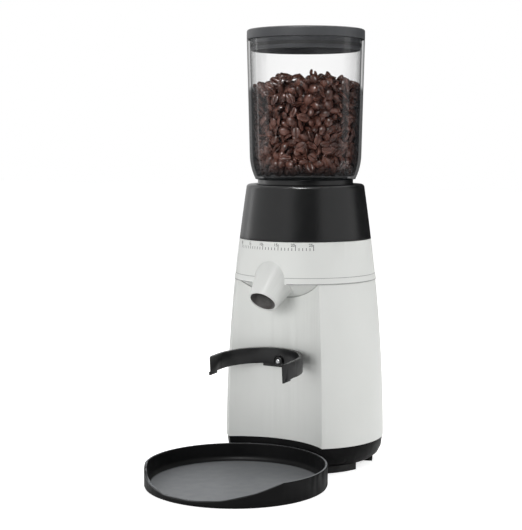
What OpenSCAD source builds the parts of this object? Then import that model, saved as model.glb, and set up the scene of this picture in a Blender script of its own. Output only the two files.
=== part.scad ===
// Burr coffee grinder: a tapered round tower with a clear bean hopper on top, a grounds spout
// and a portafilter cradle over a hollow front, and a loose round tray nested in the hollow.
// Millimetres, +Z up, the spout faces -Y. The origin is the middle of the footprint, on the
// surface that the grinder stands on. Pieces are drawn about the tower's own upright axis.

/* [Tower shell] */
// Outer radius of the white shell at its lower edge
foot_r = 71.1; // [69:0.1:73]
// Height of the white shell's lower edge
foot_z = 24.2; // [22:0.1:27]
// Outer radius at the seam between body shell and upper housing
seam_r = 63.2; // [62:0.1:65]
// Height of that seam
seam_z = 165.3; // [164:0.1:167]
// Outer radius at the top of the upper housing
crown_r = 59; // [58:0.1:61]
// Height of the top of the upper housing
crown_z = 201.4; // [200:0.1:204]
// Wall of the white shells
shell_wall = 2.8; // [2:0.1:3.2]
// Height of the rounded lip band above the seam
lip_band = 5; // [3:0.1:7]
// How far the lip band stands out
lip_out = 0.5; // [0.2:0.1:0.8]
// How far the bowl under the upper housing hangs below the seam
bowl_drop = 20.8; // [18:0.1:21]
// Radius of the bowl's mouth
bowl_r = 61; // [60:0.1:61.5]

/* [Hollow front] */
// Radius of the upright hollow in the tower's front
hollow_r = 77.9; // [77.6:0.1:79]
// Distance from the tower axis forward to the deepest line of the hollow
hollow_face = 35.5; // [34:0.1:37]

/* [Base] */
// Radius of the black base pan at its lower edge
skirt_r = 62.6; // [62:0.1:64]
// Height of the base pan's underside
skirt_z = 6.4; // [5:0.1:8]
// Wall and floor of the base pan
pan_wall = 2.6; // [2:0.1:3]
// Height of the pan's rim inside the white shell
pan_spigot = 4; // [3:0.1:6]
// Outer radius of the rubber feet
pad_r = 61.8; // [60:0.1:62]
// Radial width of the rubber feet
pad_w = 8; // [6:0.1:9]
// Bearing, from the front, where the front feet start
pad_front_from = 46; // [45:1:50]
// Bearing where the front feet end
pad_front_to = 78; // [72:1:84]
// Bearing where the rear feet start
pad_rear_from = 111; // [108:1:120]
// Bearing where the rear feet end
pad_rear_to = 150; // [140:1:154]
// Distance of the base screws from the tower axis
base_screw_reach = 57; // [56:0.1:58]

/* [Tray] */
// Gap between the tray and the hollow around it
tray_gap = 0.7; // [0.5:0.1:2]
// Height of the tray's rim at the back and sides
tray_h = 18.3; // [16:0.1:20]
// Height of the rim at the very front
tray_lip = 3.6; // [3.4:0.1:5]
// Distance in front of the tray's axis where the rim starts to fall
tray_fall = 35; // [30:0.1:40]
// Wall of the tray
tray_wall = 2.4; // [2:0.1:3]
// Floor of the tray
tray_floor = 2.2; // [1.8:0.1:2.6]
// Radius of the tray's inner corner
tray_corner = 5; // [3:0.1:6]

/* [Spout] */
// Radius of the spout at its mouth
spout_r = 12.8; // [12:0.1:13]
// Growth of that radius for each millimetre up the spout
spout_flare = 0.205; // [0.18:0.005:0.22]
// Distance of the mouth's centre in front of the tower axis
spout_reach = 71.3; // [70:0.1:72]
// Height of the mouth's centre
spout_z = 150.9; // [149:0.1:152]
// Slope of the spout's axis below the horizontal
spout_slope = 40.5; // [39:0.5:42]
// Slope of the mouth's normal below the horizontal
mouth_slope = 47; // [45:0.5:49]
// Wall of the spout at the mouth
spout_wall = 1.7; // [1.4:0.1:2.2]
// Depth of the spout's root inside the housing
spout_root = 6; // [4:0.1:8]
// Height of the level throat that feeds the spout
throat_z = 178; // [177:0.1:179]
// Bore radius of the level throat
throat_r = 7; // [6:0.1:7.5]
// Wall of the level throat
throat_wall = 2; // [1.5:0.1:2.5]

/* [Grind collar] */
// Height of the collar's top face
collar_z = 250; // [248:0.1:252]
// Radius of the collar halfway up
collar_mid_r = 55.9; // [55:0.1:56.4]
// Radius of the collar just under its rounded top edge
collar_top_r = 52.9; // [52:0.1:53.6]
// Radius of the rounded top edge
collar_round = 3.4; // [2.5:0.1:4]
// Wall of the collar
collar_wall = 2.6; // [2:0.1:3]
// Depth of the socket that the hopper's neck plugs into
socket_depth = 14; // [12:0.1:16]
// Grind settings on the scale, from 0
settings = 25; // [20:1:25]
// Turn between two settings, in degrees
setting_step = 3; // [2:0.5:3]

/* [Hopper and lid] */
// Outer radius of the hopper at its rim
hopper_rim_r = 52.4; // [51:0.1:53]
// Height of the hopper's rim
hopper_rim_z = 377.2; // [370:0.1:384]
// Outer radius where the hopper's bottom starts to curve in
hopper_shoulder_r = 49.9; // [49:0.1:51]
// Height where it starts to curve in
hopper_shoulder_z = 277; // [274:0.1:282]
// Outer radius of the hopper's bottom edge
hopper_foot_r = 44.6; // [44.2:0.1:45.5]
// Height of the hopper's bottom edge above the collar's top face
hopper_stand = 4.2; // [3:0.1:6]
// Wall of the hopper
hopper_wall = 2.6; // [2:0.1:3]
// Radius of the black neck under the hopper
neck_r = 42.6; // [41:0.1:43]
// Radius of the hole in the neck
neck_bore = 17; // [15:0.1:18]
// Height of the lid above the hopper's rim
lid_h = 8.5; // [7:0.1:10]
// Radius of the lid's rounded top edge
lid_round = 1.8; // [1:0.1:2.5]
// Wall of the lid
lid_wall = 2.4; // [2:0.1:3]
// Depth of the plug under the lid
plug_depth = 10; // [8:0.1:12]
// Depth below the hopper's rim at which the beans meet its wall
bean_edge_drop = 39.2; // [32:0.1:57]
// Depth of the top of the heap of beans below the hopper's rim
bean_crown_drop = 28.2; // [25:0.1:31]
// Mean gap between the beans and the hopper's wall
bean_side_gap = 1.8; // [0.5:0.1:3]

/* [Portafilter cradle] */
// Inner radius of the cradle
fork_bore = 36.3; // [35.8:0.1:37]
// Thickness of the cradle's band
fork_wall = 3; // [2.6:0.1:3.4]
// Height of the cradle's top edge at the back
fork_z = 106.8; // [105:0.1:108]
// Height of the cradle's band
fork_h = 13.7; // [12.5:0.1:14.5]
// Distance of the cradle's axis in front of the tower axis
fork_reach = 81.5; // [81:0.1:82]
// Distance of the tips in front of the tower axis
fork_tip_reach = 99.5; // [98:0.1:102]
// Fall of the cradle towards its tips, in degrees
fork_droop = 4; // [3:0.5:5]
// Length of the inner pads at the tips
tip_pad_len = 11; // [9:0.5:12]
// Thickness of those pads
tip_pad_t = 1.4; // [1:0.1:1.8]
// How far those pads reach below the band
tip_pad_drop = 2; // [1:0.1:2.5]
// Half width of the mount that carries the cradle on the shell
fork_pad_w = 18.8; // [17:0.1:20]
// How far the mount reaches below the band
fork_pad_drop = 3.6; // [2.5:0.1:4]
// Distance of the fixing screws from the middle
fork_screw_x = 12.5; // [11:0.1:14]

/* [Trigger] */
// Radius of the trigger button
button_r = 3.9; // [3.5:0.1:4.2]
// Height of the button
button_z = 95.4; // [95:0.1:96]
// How far the button stands out of the cradle
button_out = 1.2; // [1:0.1:1.6]
// Radius of the recess around the button
button_recess_r = 5.3; // [4.8:0.1:5.6]
// Travel of the button
button_travel = 2.6; // [2:0.1:2.6]
// Radius of the steel tip
tip_r = 1.9; // [1.5:0.1:2.2]
// How far the steel tip stands out of the button
tip_out = 0.7; // [0.4:0.1:1]
// Radius of the button's stem
stem_r = 2.2; // [2:0.1:2.4]
// Length of the coil spring behind the button at rest
spring_len = 9; // [8:0.1:10]

/* [Motor] */
// Distance from the tower axis back to the motor axis
motor_back = 32; // [32:1:32]
// Radius of the motor can
can_r = 23; // [22:0.1:23.5]
// Height of the underside of the gear case, where the motor hangs
case_z = 144; // [144:0.1:145]
// Length of the motor can
can_len = 68; // [66:0.1:72]
// Height of the motor's end cap
cap_h = 10; // [10:0.1:11]
// Wall of the motor can
can_wall = 1.6; // [1.2:0.1:1.8]
// Radius of the motor shaft
motor_shaft_r = 2.5; // [2:0.1:3]
// Radius of the armature stack
armature_r = 17.9; // [17:0.1:18]
// Length of the armature stack
armature_len = 40; // [34:0.1:42]

/* [Gears and bearings] */
// Teeth on the motor pinion
pinion_teeth = 14; // [14:1:14]
// Teeth on the drive gear
gear_teeth = 50; // [50:1:50]
// Thickness of the drive gear
gear_h = 6; // [5:0.1:6.5]
// Side play between meshing teeth, as a share of the tooth
backlash = 0.12; // [0.08:0.01:0.16]
// Radius of the burr shaft
shaft_r = 4; // [3.6:0.1:4]
// Outer radius of the shaft's bearings
bearing_r = 11; // [10.5:0.1:11]
// Width of the bearings
bearing_w = 7; // [6.5:0.1:7]
// Wall of the gear case
case_wall = 2.2; // [2:0.1:2.6]
// Distance of the gear case's long screws from the tower axis
case_screw_reach = 34.2; // [34:0.1:35]

/* [Burrs] */
// Radius of the cone burr at its base
cone_r = 19; // [18:0.1:19]
// Height of the cone burr
cone_h = 21; // [20:0.1:22]
// Gap between the two burrs at the middle setting
burr_gap = 0.6; // [0.5:0.05:0.8]
// Outer radius of the ring burr
ring_r = 24; // [23.5:0.1:24.2]
// Height of the ring burr
ring_h = 18; // [16:0.1:19]
// Travel of the ring burr over the whole scale
burr_travel = 1.5; // [1:0.1:1.8]
// Inner radius of the grind chamber
chamber_r = 28.3; // [28:0.1:28.6]
// Wall of the grind chamber
chamber_wall = 2.7; // [2.4:0.1:3]

/* [Power switch and cord entry] */
// Bearing of the power switch from the front, on the side away from +X
rocker_bearing = 120; // [115:1:125]
// Height of the power switch
rocker_z = 62; // [55:0.1:75]
// Width of the switch's window
rocker_w = 11; // [10:0.1:12]
// Height of the switch's window
rocker_h = 18; // [16:0.1:20]
// Rest tilt of the rocker, half of its throw
rocker_tilt = 7; // [5:1:8]
// Height of the cord entry
cord_z = 38; // [36:0.1:42]
// Radius of the hole for the cord
cord_hole_r = 3.5; // [3:0.1:4]

/* [Fits] */
// Gap at the shell's seams
seam_gap = 0.3; // [0.2:0.05:0.4]
// Gap between pieces that part or slide past each other
slide_gap = 0.3; // [0.25:0.05:0.35]
// Radial clearance of a running shaft
run_fit = 0.05; // [0.03:0.01:0.08]

/* [Hidden] */
$fn = 96;

// The hollow and the tray share one upright axis ahead of the tower's.
tray_r = hollow_r - tray_gap;
hollow_reach = hollow_face + hollow_r;

// Place of the tower axis behind the origin: the footprint runs from the tray's front to the
// shell's back.
axis_y = (hollow_reach + tray_r - foot_r) / 2;

// Grind chamber and burrs, stacked on the tower axis.
deck_z = 192;
deck_t = 3;
flange_t = 3;
flange_r = 42;
deck_bore = 35.3;
chamber_or = chamber_r + chamber_wall;
chamber_z = 169;
chamber_floor = 2.5;
chamber_top = 209;
cone_z = 183;
ring_z = 188;
ring_lip = 2;
carrier_r = chamber_r - slide_gap;
carrier_top = 216;
pin_z = 201;
pin_r = 2;
pin_bearings = [60, 180, 300];
pin_drop = pin_r + burr_travel / 2 + 0.3;
exit_reach = 37;
throat_end = spout_reach - 16;
burr_draw = 0.19;
clip_z = 206.3;
clip_t = 1.2;
nut_h = 5;

// Collar.
collar_foot_z = crown_z + seam_gap;
collar_foot_r = crown_r - 0.1;
collar_mid_z = 225;
collar_edge_z = collar_z - collar_round;
socket_r = neck_r + slide_gap;
socket_z = collar_z - socket_depth;
socket_wall = 2.5;
sleeve_r = chamber_or + run_fit;
sleeve_wall = 3.4;
sleeve_step_z = clip_z - slide_gap;
sleeve_foot_z = deck_z + slide_gap;
feed_r = 20.5;
feed_wall = 2;
feed_z = 214.5;
collar_turn = settings * setting_step;
slot_half = collar_turn / 2 + 5.5;
slot_tilt = atan(burr_travel / 2 / (chamber_or + sleeve_wall / 2) / sin(collar_turn / 2));
notch_ring_r = 50;
notch_ring_z = 203.2;
notch_ring_h = 2.5;

// Hopper and lid.
plug_r = hopper_rim_r - hopper_wall - 1.3;
neck_mouth = neck_r - 5;
hopper_foot_z = collar_z + hopper_stand;
bean_edge_z = hopper_rim_z - bean_edge_drop;
bean_crown_z = hopper_rim_z - bean_crown_drop;
hopper_drop = hopper_shoulder_z - hopper_foot_z;
hopper_in = hopper_shoulder_r - hopper_foot_r;
hopper_arc = (pow(hopper_drop, 2) + pow(hopper_in, 2)) / (2 * hopper_in);
bean_heap_r = hopper_shoulder_r - hopper_wall - 18;
bean_flat_r = 8;

// Gears and bearings.
module_mm = 2 * motor_back / (pinion_teeth + gear_teeth);
pressure = 20;
case_floor = 2.5;
low_bearing_z = case_z + case_floor;
gear_z = 154.5;
cover_z = 163;
cover_t = 3;
top_bearing_z = chamber_z - 0.5 - bearing_w;
case_r = gear_teeth * module_mm / 2 + module_mm + 2.2 + case_wall;
case_motor_r = 18.5;
flank_dip = 0.4;
hub_wall = 2.6;
case_ear_r = 4.5;
case_screws = [46, 314, 127, 233];
screw_r = 1.9;
head_r = 3.4;
head_h = 2.4;

// Motor.
can_foot = case_z - can_len;
cap_foot = can_foot - cap_h;
motor_boss_r = 8;
motor_screw_x = 12;
armature_z = case_z - 14 - armature_len;
commutator_r = 6.5;
commutator_h = 8;
commutator_z = cap_foot + 8;
brush_w = 4;
brush_h = 5;
brush_len = 9;

// Cradle.
fork_back = fork_reach - fork_bore;
fork_pad_step = 3;
fork_pad_reach = fork_back - fork_wall - 1.2;
fork_screw_end = fork_back - 1.6;
fork_tip_cut = 2 * fork_wall;
button_recess = 1.6;

// Trigger and its switch, on one line behind the cradle.
button_face = fork_back + button_out;
wall_back = hollow_face - shell_wall;
flange_face = wall_back - slide_gap;
button_flange_r = 6.4;
button_flange_t = 1.6;
bracket_face = flange_face - button_flange_t - spring_len - slide_gap * 2;
bracket_t = 2;
bracket_w = 13;
switch_len = 12;
switch_w = 20;
switch_h = 8;
plunger_r = 1.2;
plunger_len = 7;
stem_len = button_flange_t + spring_len + bracket_t + 2 * slide_gap;

// Screws that join the shells.
housing_bosses = [100, 150, 210, 260];
boss_set_in = 8.8;
housing_boss_reach = seam_r - boss_set_in;
base_bosses = [94, 165, 195, 266];
boss_r = 4.2;
boss_low_z = 142;
boss_mid_z = 158;
base_boss_h = 18;
rib_t = 2.4;
rib_step = 1;

// Mains switch, cord entry, board and wires.
switch_plate_t = 2;
rocker_depth = 7;
rocker_face = 71.2;
board_z = 26;
board_t = 1.6;
board_x = 70;
board_y = 44;
board_back = 26;
wire_r = 1.1;
bush_flange_r = 6.8;
bush_r = 5.4;
bush_len = 12;
bush_out = wall_r(cord_z) - 1.2;
bush_end = bush_out - bush_len;

// Outer radius of the tower at a height: one smooth curve through foot, seam and crown.
function wall_r(z) =
    foot_r * (z - seam_z) * (z - crown_z) / ((foot_z - seam_z) * (foot_z - crown_z))
    + seam_r * (z - foot_z) * (z - crown_z) / ((seam_z - foot_z) * (seam_z - crown_z))
    + crown_r * (z - foot_z) * (z - seam_z) / ((crown_z - foot_z) * (crown_z - seam_z));

// Outer radius of the collar at a height, the same way.
function collar_r(z) =
    collar_foot_r * (z - collar_mid_z) * (z - collar_edge_z)
    / ((collar_foot_z - collar_mid_z) * (collar_foot_z - collar_edge_z))
    + collar_mid_r * (z - collar_foot_z) * (z - collar_edge_z)
    / ((collar_mid_z - collar_foot_z) * (collar_mid_z - collar_edge_z))
    + collar_top_r * (z - collar_foot_z) * (z - collar_mid_z)
    / ((collar_edge_z - collar_foot_z) * (collar_edge_z - collar_mid_z));

// Height of the bowl's underside at a radius.
function bowl_z(r) = seam_z - bowl_drop * (1 - pow(r / bowl_r, 2));

// Outer radius of the hopper below its shoulder: an arc that is upright at the shoulder.
function hopper_low_r(z) =
    hopper_shoulder_r - hopper_arc + sqrt(pow(hopper_arc, 2) - pow(hopper_shoulder_z - z, 2));

// Point at a bearing from the front, counted towards +X.
function bearing(a, r, z) = [r * sin(a), -r * cos(a), z];

// Inner radius of the ring burr at its foot, and how fast both burrs draw in above it.
function cone_side(z) = cone_r - burr_draw * (z - cone_z);

module on_axis() {
    translate([0, axis_y, 0]) children();
}

module tube(r_in, r_out, z, h) {
    translate([0, 0, z]) difference() {
        cylinder(r = r_out, h = h);
        translate([0, 0, -1]) cylinder(r = r_in, h = h + 2);
    }
}

module disc(r, z, h) {
    translate([0, 0, z]) cylinder(r = r, h = h);
}

// Solid of the tower's outline between two heights, drawn in by an inset.
module tower_form(z1, z2, inset, steps = 10) {
    rotate_extrude() polygon(concat(
        [[0, z1]],
        [for (k = [0:steps]) let (z = z1 + (z2 - z1) * k / steps) [wall_r(z) - inset, z]],
        [[0, z2]]
    ));
}

// The upright hollow of the tower's front, grown by a wall.
module hollow_form(grow, z1, z2) {
    translate([0, -hollow_reach, z1]) cylinder(r = hollow_r + grow, h = z2 - z1);
}

// Solid between the bowl's underside, lowered by a drop, and the seam.
module bowl_form(drop) {
    rotate_extrude() polygon(concat(
        [for (k = [0:10]) let (r = bowl_r * k / 10) [r, bowl_z(r) - drop]],
        [[bowl_r, seam_z + 1], [0, seam_z + 1]]
    ));
}

// Room inside the bowl and the upper housing, below the deck.
module housing_room(inset = 0) {
    in_r = wall_r(seam_z) - shell_wall - inset;
    shallow_r = bowl_r * sqrt(1 - (shell_wall + inset) / bowl_drop);
    rotate_extrude() polygon(concat(
        [for (k = [0:8]) let (r = shallow_r * k / 8) [r, bowl_z(r) + shell_wall + inset]],
        [for (z = [seam_z + shell_wall, 176, 184, deck_z]) [min(in_r, wall_r(z) - shell_wall - inset), z]],
        [[0, deck_z]]
    ));
}

// The spout's cone, grown by a gap, and cut square to the mouth.
module spout_cone(grow) {
    difference() {
        translate([0, -spout_reach, spout_z]) rotate([spout_slope - 90, 0, 0])
            translate([0, 0, -6]) cylinder(
                r1 = spout_r - 6 * spout_flare + grow,
                r2 = spout_r + 34 * spout_flare + grow,
                h = 40);
        if (grow == 0)
            translate([0, -spout_reach, spout_z]) rotate([mouth_slope - 90, 0, 0])
                translate([0, 0, -20]) cylinder(r = 40, h = 20);
    }
}

// Everything behind an upright plane ahead of which the bowl shows.
module front_side(reach) {
    translate([-100, -200, 100]) cube([200, 200 - reach, 120]);
}

// Screw with a round head: the tip is at the origin and the head at the far end, along +Z.
module screw(len, r = screw_r) {
    cylinder(r = r, h = len);
    translate([0, 0, len]) difference() {
        cylinder(r = head_r, h = head_h);
        translate([-0.5, -head_r * 0.7, head_h - 0.9]) cube([1, head_r * 1.4, 2]);
        translate([-head_r * 0.7, -0.5, head_h - 0.9]) cube([head_r * 1.4, 1, 2]);
    }
}

// ---- Hopper and lid ----

module lid() {
    z = hopper_rim_z + slide_gap;
    top = z + lid_h;
    on_axis() color("#3a3c3e") rotate_extrude() polygon(concat(
        [[0, top + 0.3], [hopper_rim_r - 8, top + 0.2]],
        [for (a = [90:-15:0]) [
            hopper_rim_r - lid_round + lid_round * cos(a), top - lid_round + lid_round * sin(a)]],
        [[hopper_rim_r, z], [plug_r, z], [plug_r, z - plug_depth]],
        [[plug_r - lid_wall, z - plug_depth], [plug_r - lid_wall, top - lid_wall], [0, top - lid_wall]]
    ));
}

module lid_seal() {
    z = hopper_rim_z - plug_depth / 2;
    on_axis() color("#1c1c1d") tube(plug_r, hopper_rim_r - hopper_wall - slide_gap, z - 1.5, 3);
}

// Outline of the hopper's outside, drawn in by an inset, from its bottom edge to a height.
function hopper_side(inset, z1, z2) = concat(
    [for (k = [0:6]) let (z = z1 + (hopper_shoulder_z - z1) * k / 6) [hopper_low_r(z) - inset, z]],
    [[hopper_rim_r - inset - (hopper_rim_r - hopper_shoulder_r)
        * (hopper_rim_z - z2) / (hopper_rim_z - hopper_shoulder_z), z2]]
);

module hopper() {
    floor_z = hopper_foot_z + hopper_wall;
    on_axis() color("#dfe6ea", 0.4) rotate_extrude() difference() {
        polygon(concat(
            [[neck_mouth, hopper_foot_z]],
            hopper_side(0, hopper_foot_z, hopper_rim_z),
            [[neck_mouth, hopper_rim_z]]
        ));
        polygon(concat(
            [[0, floor_z]],
            hopper_side(hopper_wall, floor_z, hopper_rim_z + 1),
            [[0, hopper_rim_z + 1]]
        ));
    }
}

module hopper_neck() {
    foot = socket_z + slide_gap;
    throat = foot + 5;
    on_axis() color("#1d1d1e") rotate_extrude() polygon([
        [neck_bore, foot], [neck_r, foot], [neck_r, hopper_foot_z],
        [neck_mouth, hopper_foot_z], [neck_mouth - 1, hopper_foot_z], [neck_bore, throat]
    ]);
}

module coffee_beans() {
    gap = 0.3;
    throat = socket_z + slide_gap + 5 + gap;
    floor_z = hopper_foot_z + hopper_wall + gap;
    on_axis() color("#4a2a20") rotate_extrude() polygon(concat(
        [[0, throat], [neck_bore - gap, throat], [neck_mouth - 1 - gap, hopper_foot_z + gap],
            [neck_mouth - 1 - gap, floor_z]],
        hopper_side(hopper_wall + bean_side_gap, floor_z, bean_edge_z),
        [[bean_heap_r, (bean_edge_z + bean_crown_z * 2) / 3], [bean_flat_r, bean_crown_z], [0, bean_crown_z]]
    ));
}

// ---- Grind collar ----

module grind_collar() {
    on_axis() color("#2a2b2c") difference() {
        rotate_extrude() polygon(concat(collar_outside(), collar_core(), collar_inside()));
        for (a = pin_bearings) sloped_slot(a);
        for (k = [0:settings]) rotate([0, 0, (k - settings / 2) * setting_step])
            translate([0, notch_ring_r - 1, notch_ring_z - 0.6]) rotate([0, 45, 0]) cube([1, 4, 1]);
    }
}

// The collar's outer wall from its foot, its rounded edge and its flat top.
function collar_outside() = concat(
    [for (k = [0:8]) let (z = collar_foot_z + (collar_edge_z - collar_foot_z) * k / 8) [collar_r(z), z]],
    [for (a = [15:15:90]) [
        collar_top_r - collar_round + collar_round * cos(a), collar_edge_z + collar_round * sin(a)]]
);

// The socket for the hopper's neck, the feed tube and the sleeve that turns on the chamber.
function collar_core() =
    let (floor_z = socket_z - socket_wall)
    let (sleeve_out = chamber_or + sleeve_wall)
    [
        [socket_r, collar_z], [socket_r, socket_z], [feed_r, socket_z], [feed_r, feed_z],
        [feed_r + feed_wall, feed_z], [feed_r + feed_wall, floor_z],
        [chamber_or + 1.5, floor_z], [chamber_or + 1.5, sleeve_step_z],
        [sleeve_r, sleeve_step_z], [sleeve_r, sleeve_foot_z],
        [sleeve_out, sleeve_foot_z], [sleeve_out, floor_z],
        [socket_r + socket_wall, floor_z], [socket_r + socket_wall, collar_z - collar_wall]
    ];

// The inside of the outer wall, down to the foot, with the ring of click notches.
function collar_inside() = concat(
    [for (z = [collar_z - collar_wall, 236, 225, 214, notch_ring_z + notch_ring_h])
        [collar_r(min(z, collar_edge_z)) - collar_wall, z]],
    [[notch_ring_r, notch_ring_z + notch_ring_h], [notch_ring_r, notch_ring_z]],
    [for (z = [notch_ring_z, collar_foot_z]) [collar_r(z) - collar_wall, z]]
);

// Slot for one pin of the burr carrier. It climbs as the collar turns, so that turning the
// collar towards the high numbers lifts the carrier.
module sloped_slot(a) {
    rotate([0, 0, a - 90]) translate([0, 0, pin_z]) rotate([slot_tilt * -1, 0, 0])
        rotate([0, 0, -slot_half]) rotate_extrude(angle = 2 * slot_half)
            translate([chamber_or - 1, -pin_r - 0.1]) square([sleeve_wall + 2, 2 * pin_r + 0.2]);
}

module collar_clip() {
    on_axis() color("#8d9194") translate([0, 0, clip_z]) difference() {
        tube(chamber_or - 1.3, chamber_or + 1.2, 0, clip_t);
        translate([-3, 0, -1]) cube([6, 60, 4]);
    }
}

// Leaf spring on the deck at the back, with a nose just under the click notches.
module detent_spring() {
    nose_r = 1.2;
    deck_top = deck_z + deck_t;
    nose_z = notch_ring_z - nose_r - 0.2;
    on_axis() color("#a9adb0") {
        translate([-14, notch_ring_r - 2, deck_top]) cube([8, 6, 0.5]);
        translate([-7, notch_ring_r - 2, deck_top]) rotate([0, -atan((nose_z - deck_top) / 7), 0])
            cube([norm([7, nose_z - deck_top]), 6, 0.5]);
        translate([0, notch_ring_r - 2, nose_z]) rotate([-90, 0, 0]) cylinder(r = nose_r, h = 6);
    }
}

// ---- Burrs ----

module burr_carrier() {
    on_axis() color("#55585a") difference() {
        rotate_extrude() polygon([
            [ring_r - 2.5, ring_z - ring_lip], [carrier_r, ring_z - ring_lip],
            [carrier_r, carrier_top], [carrier_r - 1.2, carrier_top],
            [ring_r - 2.6, ring_z + ring_h + 0.2], [ring_r + run_fit, ring_z + ring_h + 0.2],
            [ring_r + run_fit, ring_z], [ring_r - 2.5, ring_z]
        ]);
        for (a = pin_bearings) translate([0, 0, pin_z]) rotate([90, 0, a])
            translate([0, 0, ring_r + 1]) cylinder(r = pin_r, h = 12);
    }
}

module carrier_pins() {
    on_axis() color("#b9bcbe") for (a = pin_bearings) translate([0, 0, pin_z])
        rotate([90, 0, a]) translate([0, 0, ring_r + 1])
            cylinder(r = pin_r, h = chamber_or + sleeve_wall - 0.4 - ring_r - 1);
}

module ring_burr() {
    top_z = ring_z + ring_h;
    foot_in = cone_side(ring_z) + burr_gap;
    neck_z = ring_z + 8;
    on_axis() color("#9b9ea1") difference() {
        rotate_extrude() polygon([
            [foot_in, ring_z], [ring_r, ring_z], [ring_r, top_z], [ring_r - 2.6, top_z],
            [foot_in - burr_draw * 8, neck_z]
        ]);
        for (k = [0:11]) rotate([0, 0, k * 30]) translate([foot_in - 1.6, -1, neck_z + 1])
            rotate([0, 18, 14]) cube([4, 2, ring_h]);
    }
}

module cone_burr() {
    fine_h = 9;
    on_axis() color("#a6a9ab") difference() {
        rotate_extrude() polygon([
            [shaft_r, cone_z], [cone_r - 1, cone_z], [cone_r, cone_z + 1],
            [cone_side(cone_z + fine_h), cone_z + fine_h], [cone_r - 8, cone_z + cone_h - 3],
            [cone_r - 9.5, cone_z + cone_h], [shaft_r, cone_z + cone_h]
        ]);
        for (k = [0:5]) rotate([0, 0, k * 60]) translate([cone_r - 4.5, -2, cone_z + fine_h - 1])
            rotate([0, -26, 24]) cube([9, 4, cone_h + 2]);
        for (k = [0:23]) rotate([0, 0, k * 15 + 7]) translate([cone_r - 0.8, -0.5, cone_z - 1])
            rotate([0, -10, 20]) cube([3, 1, fine_h + 1]);
    }
}

module burr_nut() {
    on_axis() color("#c4c7c9") translate([0, 0, cone_z + cone_h]) difference() {
        cylinder(r = 6.2, h = nut_h, $fn = 6);
        translate([0, 0, -1]) cylinder(r = shaft_r - 1, h = nut_h + 2);
    }
}

module impeller() {
    foot = chamber_z + chamber_floor + 2.2;
    top = cone_z - 0.2;
    on_axis() color("#dcdcd8") difference() {
        union() {
            disc(cone_r - 1, top - 2, 2);
            disc(shaft_r + 3, foot, top - foot);
            for (k = [0:3]) rotate([0, 0, 45 + k * 90]) translate([shaft_r + 1, -1, foot])
                cube([chamber_r - shaft_r - 3, 2, top - foot - 1]);
        }
        disc(shaft_r, foot - 1, 20);
    }
}

module burr_shaft() {
    on_axis() color("#b3b6b9") {
        disc(shaft_r, low_bearing_z + 0.2, cone_z + cone_h - low_bearing_z - 0.2);
        disc(shaft_r - 1, cone_z + cone_h - 0.1, nut_h + 0.9);
        disc(shaft_r + 1.6, low_bearing_z + bearing_w + slide_gap,
            gear_z - low_bearing_z - bearing_w - slide_gap);
    }
}

// ---- Gears ----

function involute(a) = tan(a) - a * PI / 180;

// Half angle of a tooth at a radius, for a gear with this many teeth.
function tooth_half(teeth, r) =
    let (pitch_r = teeth * module_mm / 2)
    let (base_r = pitch_r * cos(pressure))
    let (a = acos(min(1, base_r / max(r, base_r))))
    90 / teeth * (1 - backlash) + (involute(pressure) - involute(a)) * 180 / PI;

module gear_outline(teeth) {
    pitch_r = teeth * module_mm / 2;
    root_r = pitch_r - 1.25 * module_mm;
    addendum_r = pitch_r + 0.92 * module_mm;
    radii = [for (k = [0:4]) root_r + (addendum_r - root_r) * k / 4];
    polygon([for (t = [0:teeth - 1]) let (mid = t * 360 / teeth) each concat(
        [for (r = radii) let (a = mid - tooth_half(teeth, r)) [r * cos(a), r * sin(a)]],
        [for (k = [4:-1:0]) let (r = radii[k], a = mid + tooth_half(teeth, r)) [r * cos(a), r * sin(a)]]
    )]);
}

module drive_gear() {
    on_axis() color("#e4e2da") difference() {
        union() {
            translate([0, 0, gear_z]) rotate([0, 0, 90]) linear_extrude(gear_h) gear_outline(gear_teeth);
            disc(shaft_r + 3, gear_z, top_bearing_z - slide_gap - gear_z);
        }
        disc(shaft_r, gear_z - 1, 20);
        for (k = [0:5]) rotate([0, 0, k * 60]) translate([15.5, 0, gear_z - 1]) cylinder(r = 4, h = 20);
    }
}

module motor_pinion() {
    on_axis() color("#c7a24d") translate([0, motor_back, gear_z - 0.5]) difference() {
        rotate([0, 0, 270 - 180 / pinion_teeth]) linear_extrude(gear_h + 1) gear_outline(pinion_teeth);
        translate([0, 0, -1]) cylinder(r = motor_shaft_r, h = gear_h + 4);
    }
}

// Two circles, on the tower axis and the motor axis, with the tangents between them.
module case_outline(r1, r2) {
    lean = asin((r1 - r2) / motor_back);
    f1 = r1 - flank_dip;
    f2 = r2 - flank_dip;
    circle(r = r1);
    translate([0, motor_back]) circle(r = r2);
    polygon([
        [f1 * cos(lean), f1 * sin(lean)], [f2 * cos(lean), motor_back + f2 * sin(lean)],
        [-f2 * cos(lean), motor_back + f2 * sin(lean)], [-f1 * cos(lean), f1 * sin(lean)]
    ]);
}

module case_ears(z, h) {
    for (a = case_screws) translate(bearing(a, case_screw_reach, z)) cylinder(r = case_ear_r, h = h);
}

module case_ear_holes(z, h) {
    for (a = case_screws) translate(bearing(a, case_screw_reach, z)) cylinder(r = screw_r, h = h);
}

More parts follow.
